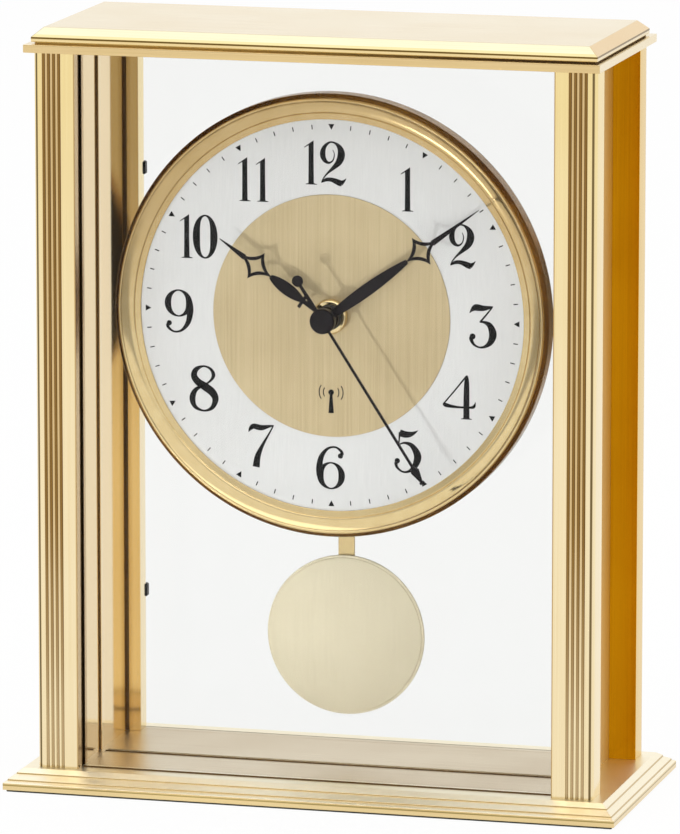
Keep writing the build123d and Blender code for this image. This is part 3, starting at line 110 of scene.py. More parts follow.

# Painted reflection and shade on the brass: where each tone begins or ends, from the face or edge that it
# belongs to
MASK_SOFT = 0.2  # usual width of a tone's edge
HEIGHT_SOFT = 0.08
FLUTE_MARGIN = 0.1
FLUTE_ZONE = 1.2
HOLLOW_DEPTH = 0.18
CORNER_REFLECTION_LINE = (0.75, 1.45)  # painted reflection: dark line on the rounded corner, from the outer face
CORNER_ZONE = 0.8
INNER_EDGE = 0.4
RETURN_EDGE = 0.3
PANEL_CLEAR = 1.6
SIDE_EDGE = 0.6
REAR_CORNER = 79.3
PLATE_EDGE = 0.12
SLAB_SHADOW_LINE = 0.55
BEVEL_START = 0.06
BEVEL_END = 0.05
BEVEL_FOOT = 0.8
STEP_FOOT = 0.05
STEP_HEAD = 0.03
NOSE_SHADOW_LINE = (2.15, 2.60)

# Dial, in its own plane: x to the right and z up from the arbor
DIAL_Z = 156.5
DIAL_FACE_Y = -12.0
CENTRE_FACE_Y = -12.3
BEZEL_BACK_Y = -6.5
BEZEL_RADIUS = 72.5
BEZEL_WALL_RADIUS = 66.0
BEZEL_WALL_ROUND = 0.4
BEZEL_LIP_RADIUS = 64.0
BEZEL_LIP_FACE = 2.2  # flat front of the lip
BEZEL_LIP_ROUND = 0.12
BEZEL_LIP_Y = -12.5
BEZEL_BEAD_Y = -14.2
BEZEL_BEAD = 1.0
BEZEL_BEAD_FOOT = 0.1
BEZEL_SHOULDER = 1.4  # slope between the wall and the bead
BEZEL_COVE = 0.3
BEZEL_QUIRK = 0.2  # fine turned lines either side of the band
PRINT_THICKNESS = 0.03
PRINT_LAYER = 0.004  # each stroke lies a little above the last
PRINT_SHARP = 60.0
NUMERAL_HEIGHT = 14.4
NUMERAL_UNIT = NUMERAL_HEIGHT / 1000
NUMERAL_RADIUS = 50.0
PAIR_SHIFT = -1.2  # two-digit numbers sit a little to the left
FINEST_STROKE = 2.0
STROKE_WEIGHT = 1.22  # ink spreads the drawn strokes a little
SERIF = (14, 32, 0.45)  # height at its ends and middle, and the middle's share of its length
MARK_RADIUS = 61.6
HOUR_MARK = 1.0  # half height of an hour triangle
MINUTE_MARK = (0.17, 0.75)  # half width and half length of a minute dash
SIGNAL_DROP = 26.6  # signal symbol under the arbor
SIGNAL_POST = ((-0.9, -5.2), (0.9, -5.2), (0.45, 0.8), (-0.45, 0.8))
SIGNAL_BALL = (0.0, 1.6)
SIGNAL_BALL_RADIUS = 0.95
SIGNAL_WAVES = (2.6, 4.0)
SIGNAL_SPREAD = 34.0
SIGNAL_LINE = 0.16

# Pendulum bob
BOB_Z = 47.8
BOB_RADIUS = 26.5
BOB_RIM_RADIUS = 25.6
BOB_RIM_SLOPE = 0.1
BOB_RIM_ROUND = 0.15
BOB_HUB = 0.02
BOB_BACK_Y = 7.0
BOB_EDGE_Y = 6.0
BOB_STEP_Y = 5.75
BOB_FRONT_Y = 4.4

# Camera that took the photograph
CAMERA_AZIMUTH = 15.251
CAMERA_ELEVATION = 10.354
CAMERA_DISTANCE = 2507.0
CAMERA_TARGET = (-0.504, 0.0, 121.132)
CAMERA_LENS = 332.98
CAMERA_RANGE = 50.0  # metres

# Studio, in metres and parts of white
WHITE = (1.0, 1.0, 1.0, 1.0)
FLOOR_HALF = 9.0
FLOOR_WHITE = 1.02
FLOOR_GLOW = 0.93  # share of the floor's own white, so that a faint shadow stays
FADE_FRONT = (-0.05, -0.20, 1.0, 0.93)  # two places, and how bright glass shows the floor at each
FADE_RIGHT = (0.08, 0.26, 1.0, 0.48)
FADE_LEFT = (-0.38, -0.60, 1.0, 0.40)
WORLD_LIGHT = 0.55
WORLD_BEHIND = (-0.25, 0.25)  # directions between which the surround brightens for metal
WORLD_ABOVE = (0.15, 0.60)
WORLD_GLOSS = (0.50, 1.0)
SPOT_BLEND = 0.3

# Meshes
CORNER_STEPS = 4
CORNER_LEG = 0.4  # most of a leg that a softened corner takes
CORNER_FLAT = 1.2  # place of the point that keeps a leg's shading flat, in corner lengths
ROUND_STEPS = 5
ROUND_FLAT = 0.4  # the same for the sides of a rounded rectangle
CURVE_STEPS = 10
SAME_POINT = 1e-7
WELD_REACH = 1e-6
BEVEL_ANGLE = 38.0
SHARP_ANGLE = 32.0


# Surfaces

def loft(rings, wrap=False):
    """Closed skin over rings of equal count: quads between neighbouring rings, and flat caps at both ends
    or, wrapped, quads from the last ring to the first."""
    count, around, _ = rings.shape
    ring = np.arange(count if wrap else count - 1)[:, None]
    point = np.arange(around)[None, :]
    next_ring = (ring + 1) % count
    next_point = (point + 1) % around
    corners = (ring * around + point, ring * around + next_point,
               next_ring * around + next_point, next_ring * around + point)
    faces = np.stack(np.broadcast_arrays(*corners), axis=-1).reshape(-1, 4).tolist()
    if not wrap:
        faces.append(list(range(around)))
        faces.append(list(range((count - 1) * around, count * around)))
    return rings.reshape(-1, 3), faces


def revolve(profile, centre_z, steps):
    """Closed profile of (radius, depth) points carried round the level axis: x = r cos a, z = r sin a."""
    angle = np.linspace(0, 2 * np.pi, steps, endpoint=False)[:, None]
    radius, depth = profile[:, 0], profile[:, 1]
    return loft(np.stack([
        radius * np.cos(angle),
        np.broadcast_to(depth, (steps, len(profile))),
        centre_z + radius * np.sin(angle),
    ], axis=-1), wrap=True)


def prism(outline, axis, start, end):
    """Flat outline carried straight along an axis, 1 for y and 2 for z."""
    outline = np.asarray(outline, dtype=float)
    return loft(np.stack([np.insert(outline, axis, place, axis=1) for place in (start, end)]))


def soften(path, radius):
    """Rounds the corners of a path: each is a parabola between points a radius before and after it,
    and one more point on each straight leg keeps that leg's shading flat."""
    path = np.asarray(path, dtype=float)
    legs = (np.roll(path, 1, axis=0) - path, np.roll(path, -1, axis=0) - path)
    ends = []
    for leg in legs:
        length = np.maximum(np.linalg.norm(leg, axis=1, keepdims=True), 1e-9)
        ends.append((leg * np.minimum(radius / length, CORNER_LEG))[:, None])
    corner = path[:, None]
    t = np.linspace(0, 1, CORNER_STEPS)[None, :, None]
    curve = corner + (1 - t) ** 2 * ends[0] + t ** 2 * ends[1]
    curve = np.concatenate([corner + CORNER_FLAT * ends[0], curve, corner + CORNER_FLAT * ends[1]], axis=1)
    return np.concatenate([path[:1], curve[1:-1].reshape(-1, path.shape[1]), path[-1:]])


def rounded_rings(half_x, half_y, height, corner, middle_y=0.0):
    """Level rounded rectangles, one per height: four quarter circles of the corner radius, set in from
    both sides, each with one more point along the straight sides to keep their shading flat."""
    half_x, half_y, height, middle_y = (np.asarray(v, dtype=float).reshape(-1, 1)
                                        for v in np.broadcast_arrays(half_x, half_y, height, middle_y))
    turn = np.linspace(0, np.pi / 2, ROUND_STEPS)
    turn = np.concatenate([turn[:1], turn, turn[-1:]])
    slide = np.zeros(len(turn))
    slide[0], slide[-1] = -ROUND_FLAT * corner, ROUND_FLAT * corner
    quarter = np.arange(4)[:, None] * np.pi / 2
    angle = (quarter + turn).reshape(-1)
    slide = np.tile(slide, 4)
    middle = np.repeat(quarter + np.pi / 4, len(turn))
    x = np.sign(np.cos(middle)) * (half_x - corner) + corner * np.cos(angle) - slide * np.sin(angle)
    y = np.sign(np.sin(middle)) * (half_y - corner) + corner * np.sin(angle) + slide * np.cos(angle)
    return np.stack([x, y + middle_y, np.broadcast_to(height, x.shape)], axis=-1)


def arc(centre, radius, start, end, steps):
    """Points on a circle from a start angle to an end angle, in degrees."""
    angle = np.radians(np.linspace(start, end, steps))
    return np.stack([centre[0] + radius * np.cos(angle), centre[1] + radius * np.sin(angle)], axis=-1)


def smooth_curve(points, closed):
    """Curve through points: each stretch is the cubic whose slope at a point is half the step between
    that point's neighbours."""
    points = np.asarray(points, dtype=float)
    if closed:
        ring = np.concatenate([points[-1:], points, points[:2]])
    else:
        ring = np.concatenate([2 * points[:1] - points[1:2], points, 2 * points[-1:] - points[-2:-1]])
    p0, p1, p2, p3 = (ring[i:len(ring) - 3 + i, None] for i in range(4))
    t = np.linspace(0, 1, CURVE_STEPS, endpoint=False)[None, :, None]
    curve = p1 + 0.5 * t * (p2 - p0 + t * (2 * p0 - 5 * p1 + 4 * p2 - p3 + t * (3 * (p1 - p2) + p3 - p0)))
    curve = curve.reshape(-1, points.shape[1])
    return curve if closed else np.concatenate([curve, points[-1:]])


def ribbon(path, closed=False):
    """Flat stroke along (x, z, half width) points: its edges lie half a width to each side of the path."""
    ahead = np.roll(path[:, :2], -1, axis=0)
    behind = np.roll(path[:, :2], 1, axis=0)
    if not closed:
        ahead[-1] = path[-1, :2]
        behind[0] = path[0, :2]
    along = ahead - behind
    along /= np.linalg.norm(along, axis=1, keepdims=True)
    across = np.stack([-along[:, 1], along[:, 0]], axis=-1) * path[:, 2:]
    return path[:, :2] + across, path[:, :2] - across


def thick_ribbon(edges, back, front, closed):
    """Stroke between two edges with a thickness: a square section carried along, with square ends."""
    left, right = edges
    section = ((left, back), (left, front), (right, front), (right, back))
    return loft(np.stack([np.insert(edge, 1, y, axis=1) for edge, y in section], axis=1), closed)


def joined(surfaces):
    """Several surfaces as one: points in a row, face numbers moved along."""
    points, faces, start = [], [], 0
    for part_points, part_faces in surfaces:
        points.append(part_points)
        faces += [[start + corner for corner in face] for face in part_faces]
        start += len(part_points)
    return np.concatenate(points), faces


def link_object(name, data):
    """New object that holds a mesh, a lamp or a camera."""
    holder = bpy.data.objects.new(name, data)
    bpy.context.collection.objects.link(holder)
    return holder


def add_piece(name, surface, material, nodes=(), body="case", sharp=SHARP_ANGLE):
    """Puts a surface into a mesh object that rides a body and stands for CAD nodes."""
    points, faces = surface
    mesh = bpy.data.meshes.new(name)
    mesh.from_pydata((points * MM).tolist(), [], faces, shade_flat=False)
    work = bmesh.new()
    work.from_mesh(mesh)
    bmesh.ops.remove_doubles(work, verts=work.verts, dist=SAME_POINT)
    bmesh.ops.recalc_face_normals(work, faces=work.faces)
    work.to_mesh(mesh)
    work.free()
    mesh.set_sharp_from_angle(angle=radians(sharp))
    mesh.materials.append(material)
    piece = link_object(name, mesh)
    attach(piece, body)
    if nodes:
        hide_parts(*nodes)
    return piece


def soften_edges(piece, width, weld=False):
    """Small rounded edges: loose triangles are joined, then edges sharper than the limit are bevelled."""
    if weld:
        piece.modifiers.new("Joined", "WELD").merge_threshold = WELD_REACH
    bevel = piece.modifiers.new("Soft edges", "BEVEL")
    bevel.width = width * MM
    bevel.segments = 2
    bevel.limit_method = "ANGLE"
    bevel.angle_limit = radians(BEVEL_ANGLE)
    bevel.harden_normals = True


# Shader nodes

def plug(tree, value, socket):
    """Links an output to a socket, or sets a plain value on it."""
    if isinstance(value, bpy.types.NodeSocket):
        tree.links.new(value, socket)
    else:
        socket.default_value = value


def math_node(tree, operation, first, second=0.0):
    """Arithmetic on one or two values, each a number or an output."""
    node = tree.nodes.new("ShaderNodeMath")
    node.operation = operation
    plug(tree, first, node.inputs[0])
    plug(tree, second, node.inputs[1])
    return node.outputs[0]


def times(tree, first, *others):
    """Product of masks or numbers."""
    for other in others:
        first = math_node(tree, "MULTIPLY", first, other)
    return first


def mix_node(tree, factor, first, second, colour=False):
    """Blend from a first value or colour to a second."""
    node = tree.nodes.new("ShaderNodeMix")
    node.data_type = "RGBA" if colour else "FLOAT"
    start = 6 if colour else 2
    plug(tree, factor, node.inputs["Factor"])
    plug(tree, first, node.inputs[start])
    plug(tree, second, node.inputs[start + 1])
    return node.outputs[2 if colour else 0]


def stretched(tree, value, low, high, first=0.0, last=1.0):
    """Carries a value over so that low becomes first and high becomes last, held at both ends."""
    node = tree.nodes.new("ShaderNodeMapRange")
    ends = {"Value": value, "From Min": low, "From Max": high, "To Min": first, "To Max": last}
    for socket, end in ends.items():
        plug(tree, end, node.inputs[socket])
    return node.outputs["Result"]


def noise_node(tree, vector, scale, detail, rough):
    """Noise texture on a vector; its scale is a number or an output."""
    node = tree.nodes.new("ShaderNodeTexNoise")
    for socket, value in (("Vector", vector), ("Scale", scale), ("Detail", detail), ("Roughness", rough)):
        plug(tree, value, node.inputs[socket])
    return node.outputs["Fac"]


def coordinates(tree, kind="Object"):
    """Coordinates of the surface as one vector."""
    return tree.nodes.new("ShaderNodeTexCoord").outputs[kind]


def axes(tree, vector):
    """X, Y and Z of a vector."""
    split = tree.nodes.new("ShaderNodeSeparateXYZ")
    plug(tree, vector, split.inputs[0])
    return split.outputs


def ray_mask(tree, first, *others):
    """Value that is 1 for any of the named kinds of ray."""
    rays = tree.nodes.new("ShaderNodeLightPath").outputs
    value = rays[first]
    for other in others:
        value = math_node(tree, "MAXIMUM", value, rays[other])
    return value


def mix_shaders(tree, factor, other):
    """Sends the principled shader to the output, mixed with another shader."""
    mix = tree.nodes.new("ShaderNodeMixShader")
    plug(tree, factor, mix.inputs["Fac"])
    plug(tree, tree.nodes["Principled BSDF"].outputs["BSDF"], mix.inputs[1])
    plug(tree, other, mix.inputs[2])
    plug(tree, mix.outputs["Shader"], tree.nodes["Material Output"].inputs["Surface"])


# Shader groups

TONE_INPUTS = {"Pale": "Color", "Deep": "Color", "Smooth": "Float", "Rough": "Float"}
TONE_OUTPUTS = {"Color": "Color", "Roughness": "Float", "Height": "Float"}
NOISE_RANGE = (0.3, 0.7)  # noise seldom leaves this range, so it is stretched from it
CLOUD_SHARE = 0.35
SLOW_SHARE = 0.4
SLOW_SCALE = 60.0
LAYER_CLOUDS = 30.0


def shader_group(name, inputs, outputs):
    """Empty node group with named sockets, and its two end nodes."""
    group = bpy.data.node_groups.new(name, "ShaderNodeTree")
    for way, sockets in (("INPUT", inputs), ("OUTPUT", outputs)):
        for socket, kind in sockets.items():
            group.interface.new_socket(socket, in_out=way, socket_type="NodeSocket" + kind)
    return group, group.nodes.new("NodeGroupInput"), group.nodes.new("NodeGroupOutput")


def tone_outputs(group, entry, end, tone, height):
    """Colour from pale to deep and roughness from smooth to rough, both by the tone, and the height."""
    pale, deep, smooth, rough = (entry.outputs[socket] for socket in TONE_INPUTS)
    plug(group, mix_node(group, tone, pale, deep, colour=True), end.inputs["Color"])
    plug(group, mix_node(group, tone, smooth, rough), end.inputs["Roughness"])
    plug(group, height, end.inputs["Height"])


def brush_group():
    """Brushed or drawn metal: noise stretched along the stroke, over slow cloudy changes from polishing."""
    inputs = {"Stretch": "Vector", "Clouds": "Float", **TONE_INPUTS}
    group, entry, end = shader_group("Brush lines", inputs, TONE_OUTPUTS)
    place = coordinates(group)
    along = group.nodes.new("ShaderNodeVectorMath")
    along.operation = "MULTIPLY"
    plug(group, place, along.inputs[0])
    plug(group, entry.outputs["Stretch"], along.inputs[1])
    lines = noise_node(group, along.outputs[0], 1.0, detail=4.0, rough=0.7)
    clouds = noise_node(group, place, entry.outputs["Clouds"], detail=2.0, rough=0.5)
    lines, clouds = (stretched(group, noise, *NOISE_RANGE) for noise in (lines, clouds))
    tone_outputs(group, entry, end, mix_node(group, CLOUD_SHARE, lines, clouds), lines)
    return group


def grain_group():
    """Moulded, pressed or sintered grain: fine even noise with a slower change of tone."""
    group, entry, end = shader_group("Moulded grain", {"Scale": "Float", **TONE_INPUTS}, TONE_OUTPUTS)
    place = coordinates(group)
    grain = noise_node(group, place, entry.outputs["Scale"], detail=3.0, rough=0.6)
    slow = noise_node(group, place, SLOW_SCALE, detail=2.0, rough=0.5)
    tone = stretched(group, mix_node(group, SLOW_SHARE, grain, slow), *NOISE_RANGE)
    tone_outputs(group, entry, end, tone, grain)
    return group


BRUSH = brush_group()
GRAIN = grain_group()


def group_node(tree, group, values, tones=()):
    """Places a node group with its values and its four tones: pale, deep, smooth and rough."""
    node = tree.nodes.new("ShaderNodeGroup")
    node.node_tree = group
    for socket, value in {**values, **dict(zip(TONE_INPUTS, tones))}.items():
        node.inputs[socket].default_value = (*value, 1.0) if socket in ("Pale", "Deep") else value
    return node


def toned_material(name, group, values, tones, bump, even):
    """Principled material fed by a tone group, with a bump in millimetres and even values on its sockets."""
    material = bpy.data.materials.new(name)
    material.use_nodes = True
    tree = material.node_tree
    shader = tree.nodes["Principled BSDF"]
    tone = group_node(tree, group, values, tones)
    plug(tree, tone.outputs["Color"], shader.inputs["Base Color"])
    plug(tree, tone.outputs["Roughness"], shader.inputs["Roughness"])
    if bump:
        lift = tree.nodes.new("ShaderNodeBump")
        lift.inputs["Distance"].default_value = bump * MM
        plug(tree, tone.outputs["Height"], lift.inputs["Height"])
        plug(tree, lift.outputs["Normal"], shader.inputs["Normal"])
    for socket, value in even.items():
        shader.inputs[socket].default_value = value
    return material


def brushed(name, stretch, *tones, bump=0.0, clouds=25.0, **even):
    """Metal with brush lines along the axis whose stretch is small."""
    return toned_material(name, BRUSH, {"Stretch": stretch, "Clouds": clouds}, tones, bump,
                          {"Metallic": 1.0, **even})


def grained(name, scale, *tones, bump=0.0, **even):
    """Plastic, rubber, felt, ink or glass with an even grain."""
    return toned_material(name, GRAIN, {"Scale": scale}, tones, bump, even)


# Finishes: a stretch or scale, then pale and deep colour, smooth and rough

ALONG_X = (14.0, 1900.0, 1900.0)
ALONG_Z = (1900.0, 1900.0, 10.0)
FINE_X = (8.0, 900.0, 900.0)
EVEN = (160.0, 160.0, 160.0)
DIAL_GRAIN = (2600.0, 2600.0, 120.0)
CENTRE_GRAIN = (2000.0, 2000.0, 16.0)
WINDING = (3200.0, 3200.0, 3200.0)
# dark brown of the seals and spacer, also used as painted shade at the panes' feet
SEAL_AND_SHADE_TONES = ((0.190, 0.105, 0.028), (0.120, 0.062, 0.015), 0.55, 0.70)
LOW_GLOSS = {"Specular IOR Level": 0.12}

polished_brass = brushed("Polished brass", EVEN, (0.90, 0.75, 0.45), (0.84, 0.65, 0.34), 0.10, 0.16)
brushed_brass = brushed("Brushed brass", ALONG_X, (0.80, 0.70, 0.52), (0.64, 0.52, 0.36), 0.30, 0.42)
bob_brass = brushed("Satin bob brass", ALONG_Z, (0.78, 0.70, 0.51), (0.72, 0.64, 0.455), 0.50, 0.60,
                    clouds=60.0, Metallic=0.15)
rod_brass = brushed("Satin rod brass", ALONG_Z, (0.54, 0.41, 0.20), (0.46, 0.34, 0.155), 0.40, 0.50,
                    Metallic=0.5)
silver_dial = brushed("Silver dial", DIAL_GRAIN, (0.78, 0.78, 0.77), (0.70, 0.70, 0.69), 0.45, 0.60,
                      Metallic=0.1)
champagne_dial = brushed("Champagne dial", CENTRE_GRAIN, (0.59, 0.48, 0.285), (0.44, 0.345, 0.19),
                         0.38, 0.52, clouds=40.0, Metallic=0.45)
steel = brushed("Zinc steel", EVEN, (0.66, 0.66, 0.67), (0.52, 0.52, 0.54), 0.22, 0.36)
nickel = brushed("Nickel plate", EVEN, (0.76, 0.74, 0.71), (0.68, 0.66, 0.62), 0.14, 0.22)
copper_winding = brushed("Copper winding", WINDING, (0.62, 0.27, 0.12), (0.40, 0.14, 0.06), 0.30, 0.45,
                         bump=0.06)
# dark seal rubber; the same material is painted shade on the strips at the panes' feet
dark_seal_and_shade = grained("Dark seal and painted shade", 2400.0, *SEAL_AND_SHADE_TONES, bump=0.02, **{"Specular IOR Level": 0.15})
black_plastic = grained("Black plastic", 1800.0, (0.034, 0.034, 0.037), (0.022, 0.022, 0.024), 0.38, 0.55,
                        bump=0.04)
dark_felt = grained("Dark felt", 2600.0, (0.060, 0.070, 0.060), (0.030, 0.036, 0.030), 0.90, 1.00,
                    bump=0.25, **{"Sheen Weight": 0.4})
black_lacquer = grained("Black lacquer", 900.0, (0.012, 0.009, 0.010), (0.007, 0.005, 0.006), 0.26, 0.36,
                        **LOW_GLOSS)
dial_ink = grained("Dial ink", 3000.0, (0.010, 0.009, 0.009), (0.005, 0.005, 0.005), 0.50, 0.65, **LOW_GLOSS)
gear_plastic = grained("Natural acetal", 1400.0, (0.82, 0.80, 0.74), (0.74, 0.72, 0.65), 0.34, 0.46,
                       bump=0.02)
battery_jacket = grained("Battery jacket", 700.0, (0.10, 0.24, 0.46), (0.07, 0.18, 0.38), 0.22, 0.32)
board_green = grained("Board lacquer", 500.0, (0.05, 0.25, 0.12), (0.03, 0.17, 0.08), 0.28, 0.42)
ferrite = grained("Ferrite", 2200.0, (0.11, 0.11, 0.12), (0.07, 0.07, 0.08), 0.55, 0.72, bump=0.05)
button_grey = grained("Button grey", 1500.0, (0.64, 0.64, 0.62), (0.56, 0.56, 0.54), 0.28, 0.40, bump=0.02)


# Limits: masks from Object coordinates; a layer of tone lies where the product of its limits is 1

def size_mask(tree, value, reach, soft):
    """Mask that rises from 0 to 1 where the size of a value passes a reach, over a soft width."""
    size = math_node(tree, "ABSOLUTE", value)
    return stretched(tree, size, (reach - soft / 2) * MM, (reach + soft / 2) * MM)


def far(axis, reach, soft=MASK_SOFT):
    """Limit to places further from the clock's middle than a reach."""
    return lambda tree, place: size_mask(tree, place[axis], reach, soft)


def near(axis, reach, soft=MASK_SOFT):
    """Limit to places nearer to the clock's middle than a reach."""
    return far(axis, reach, -soft)


def rising(axis, low, high, first=0.0, last=1.0):
    """Limit that goes from first at one place to last at another."""
    return lambda tree, place: stretched(tree, place[axis], low * MM, high * MM, first, last)


def between(low, high):
    """Limit to a range of heights, told by their distance from its middle."""
    middle, reach = (low + high) / 2 * MM, (high - low) / 2
    return lambda tree, place: size_mask(
        tree, math_node(tree, "SUBTRACT", place["Z"], middle), reach, -HEIGHT_SOFT)


def past_mitre(tree, place):
    """Limit to the slab's two ends, parted from its front and back along the mitres."""
    across, along = (math_node(tree, "ABSOLUTE", place[axis]) for axis in ("X", "Y"))
    start = SLAB[0] - SLAB[1]
    return stretched(tree, math_node(tree, "SUBTRACT", across, along), start * MM, (start + 0.1) * MM)


def outer_bezel(tree, place):
    """Limit to the wall and shoulder of the bezel, told by their distance from the arbor."""
    rise = math_node(tree, "SUBTRACT", place["Z"], DIAL_Z * MM)
    squares = (times(tree, value, value) for value in (place["X"], rise))
    radius = math_node(tree, "SQRT", math_node(tree, "ADD", *squares))
    return size_mask(tree, radius, BEZEL_RADIUS - BEZEL_SHOULDER + 0.1, 0.1)


def mask_group(name, limits):
    """Node group with one output, the product of its limits."""
    group, _, end = shader_group(name, {}, {"Mask": "Float"})
    place = axes(group, coordinates(group))
    plug(group, times(group, *(limit(group, place) for limit in limits)), end.inputs["Mask"])
    return group


def layered(material, stretch, *layers):
    """Lays more sets of brush lines over a material; a layer is its name, its limits and its four tones."""
    tree = material.node_tree
    shader = tree.nodes["Principled BSDF"]
    for name, limits, *tones in layers:
        over = group_node(tree, BRUSH, {"Stretch": stretch, "Clouds": LAYER_CLOUDS}, tones)
        where = group_node(tree, mask_group(name, limits), {}).outputs["Mask"]
        for socket, output, colour in (("Base Color", "Color", True), ("Roughness", "Roughness", False)):
            under = shader.inputs[socket].links[0].from_socket
            plug(tree, mix_node(tree, where, under, over.outputs[output], colour), shader.inputs[socket])
    return material


flute_first = FLUTE_START - FLUTE_RADIUS - FLUTE_MARGIN
flute_last = FLUTE_START + FLUTE_PITCH * (FLUTE_COUNT - 1) + FLUTE_RADIUS + FLUTE_MARGIN
flute_rows = (near("X", HALF_WIDTH - flute_first), far("X", HALF_WIDTH - flute_last),
              far("Y", HALF_DEPTH - FLUTE_ZONE))
rear_inside = (near("Y", COLUMN_END + RETURN_EDGE), rising("Y", 0, 1), near("X", PANEL_MIDDLE))
slab_bevel = between(SLAB_FACE_Z + BEVEL_START, SLAB_TOP_Z - BEVEL_END)
step_tops = FLOOR_Z - np.cumsum(BAND_DROPS) - BAND_STEP * np.arange(3)

panel_brass = layered(
    brushed("Panel brass", ALONG_Z, (0.90, 0.705, 0.40), (0.86, 0.65, 0.35), 0.05, 0.10), ALONG_Z,
    ("Panel outside", [far("X", PANEL_MIDDLE)], (0.84, 0.64, 0.32), (0.74, 0.53, 0.23), 0.45, 0.60))
# Drawn brass of the columns; every layer over it is painted reflection or painted shade
column_brass = layered(
    brushed("Drawn brass", ALONG_Z, (0.94, 0.80, 0.52), (0.88, 0.71, 0.41), 0.08, 0.16), ALONG_Z,
    # painted reflection: the columns a deeper gold towards the top
    ("Column upper", [rising("Z", 120, 235)], (0.93, 0.76, 0.38), (0.87, 0.67, 0.30), 0.08, 0.16),
    # painted reflection: the fluted strip a darker gold, growing stronger higher up
    ("Flute ridge", [*flute_rows, rising("Z", 30, 100)],
     (0.74, 0.54, 0.27), (0.64, 0.45, 0.20), 0.10, 0.18),
    # painted shade: dark brown in the flutes' hollows, weaker near the foot
    ("Flute hollow", [*flute_rows, near("Y", HALF_DEPTH - HOLLOW_DEPTH, 0.3),
                      rising("Z", 20, 90, first=0.60)],
     (0.30, 0.17, 0.045), (0.22, 0.12, 0.03), 0.12, 0.22),
    # painted reflection: dark line down each column's rounded outer corner
    ("Corner line", [near("X", HALF_WIDTH - CORNER_REFLECTION_LINE[0]), far("X", HALF_WIDTH - CORNER_REFLECTION_LINE[1]),
                     far("Y", HALF_DEPTH - CORNER_ZONE)],
     (0.22, 0.15, 0.06), (0.16, 0.105, 0.04), 0.14, 0.24),
    # painted reflection: dark line along the inner edges of the front columns
    ("Inner edge", [near("X", HALF_WIDTH - COLUMN_WIDTH + INNER_EDGE), rising("Y", 0, -1)],
     (0.60, 0.41, 0.18), (0.50, 0.33, 0.13), 0.14, 0.24),
    # painted reflection: amber on the columns' faces that turn towards the case's middle, outside the panels
    ("Column return", [near("Y", COLUMN_END + RETURN_EDGE), far("X", PANEL_MIDDLE + PANEL_CLEAR)],
     (0.80, 0.46, 0.012), (0.66, 0.34, 0.005), 0.16, 0.28),
    # painted reflection: amber on the rear columns' outer sides
    ("Rear column side", [rising("Y", COLUMN_END + RETURN_EDGE, COLUMN_END + RETURN_EDGE + MASK_SOFT),
                          far("X", HALF_WIDTH - SIDE_EDGE, 0.4)],
     (0.80, 0.53, 0.10), (0.74, 0.47, 0.07), 0.10, 0.18),
    # painted reflection: deeper gold on the rear columns' front faces inside the case
    ("Rear column inside", rear_inside, (0.98, 0.77, 0.40), (0.92, 0.69, 0.32), 0.08, 0.14),
    # painted shade: darker where the rear columns' front faces meet the side panels
    ("Rear column corner", [*rear_inside, far("X", REAR_CORNER, 2.2)],
     (0.60, 0.39, 0.12), (0.52, 0.32, 0.08), 0.08, 0.14))
flange_brass = layered(
    brushed("Flange brass", ALONG_X, (0.92, 0.80, 0.55), (0.84, 0.68, 0.40), 0.14, 0.26), ALONG_X,
    # painted reflection: deeper gold on the flange's front and back faces
    ("Flange edge", [far("Y", FLANGE[1] - PLATE_EDGE, 0.1)],
     (0.84, 0.64, 0.33), (0.74, 0.53, 0.24), 0.14, 0.24))
slab_brass = layered(
    brushed("Slab brass", ALONG_X, (0.92, 0.80, 0.55), (0.84, 0.68, 0.40), 0.14, 0.26), ALONG_X,
    # painted reflection: deeper gold on the slab's front and back faces
    ("Slab edge", [far("Y", SLAB[1] - PLATE_EDGE, 0.1)],
     (0.96, 0.78, 0.42), (0.90, 0.69, 0.33), 0.14, 0.24),
    # painted shade: dark line along the top of the slab's upright face, under the bevel
    ("Slab line", [between(SLAB_FACE_Z - SLAB_SHADOW_LINE, SLAB_FACE_Z + BEVEL_START)],
     (0.25, 0.15, 0.03), (0.19, 0.11, 0.02), 0.20, 0.30),
    # painted reflection: a cream tone on the bevel
    ("Slab bevel", [slab_bevel], (0.63, 0.585, 0.42), (0.59, 0.545, 0.37), 0.14, 0.24),
    # painted reflection: deeper gold along the foot of the bevel
    ("Bevel foot", [between(SLAB_FACE_Z + BEVEL_START, SLAB_FACE_Z + BEVEL_FOOT)],
     (0.61, 0.53, 0.29), (0.57, 0.48, 0.24), 0.14, 0.24),
    # painted reflection: amber on the bevels at the slab's two ends
    ("Slab end", [past_mitre, slab_bevel], (0.88, 0.65, 0.34), (0.82, 0.58, 0.28), 0.14, 0.24))
# Dark brown spacer in the shadow gap, with a painted reflection of gold fading in towards the left
gap_shade_and_reflection = layered(
    grained("Shadow gap", 2400.0, *SEAL_AND_SHADE_TONES), ALONG_X,
    ("Gap left", [rising("X", 60, -30)], (0.95, 0.68, 0.22), (0.88, 0.60, 0.17), 0.50, 0.60))
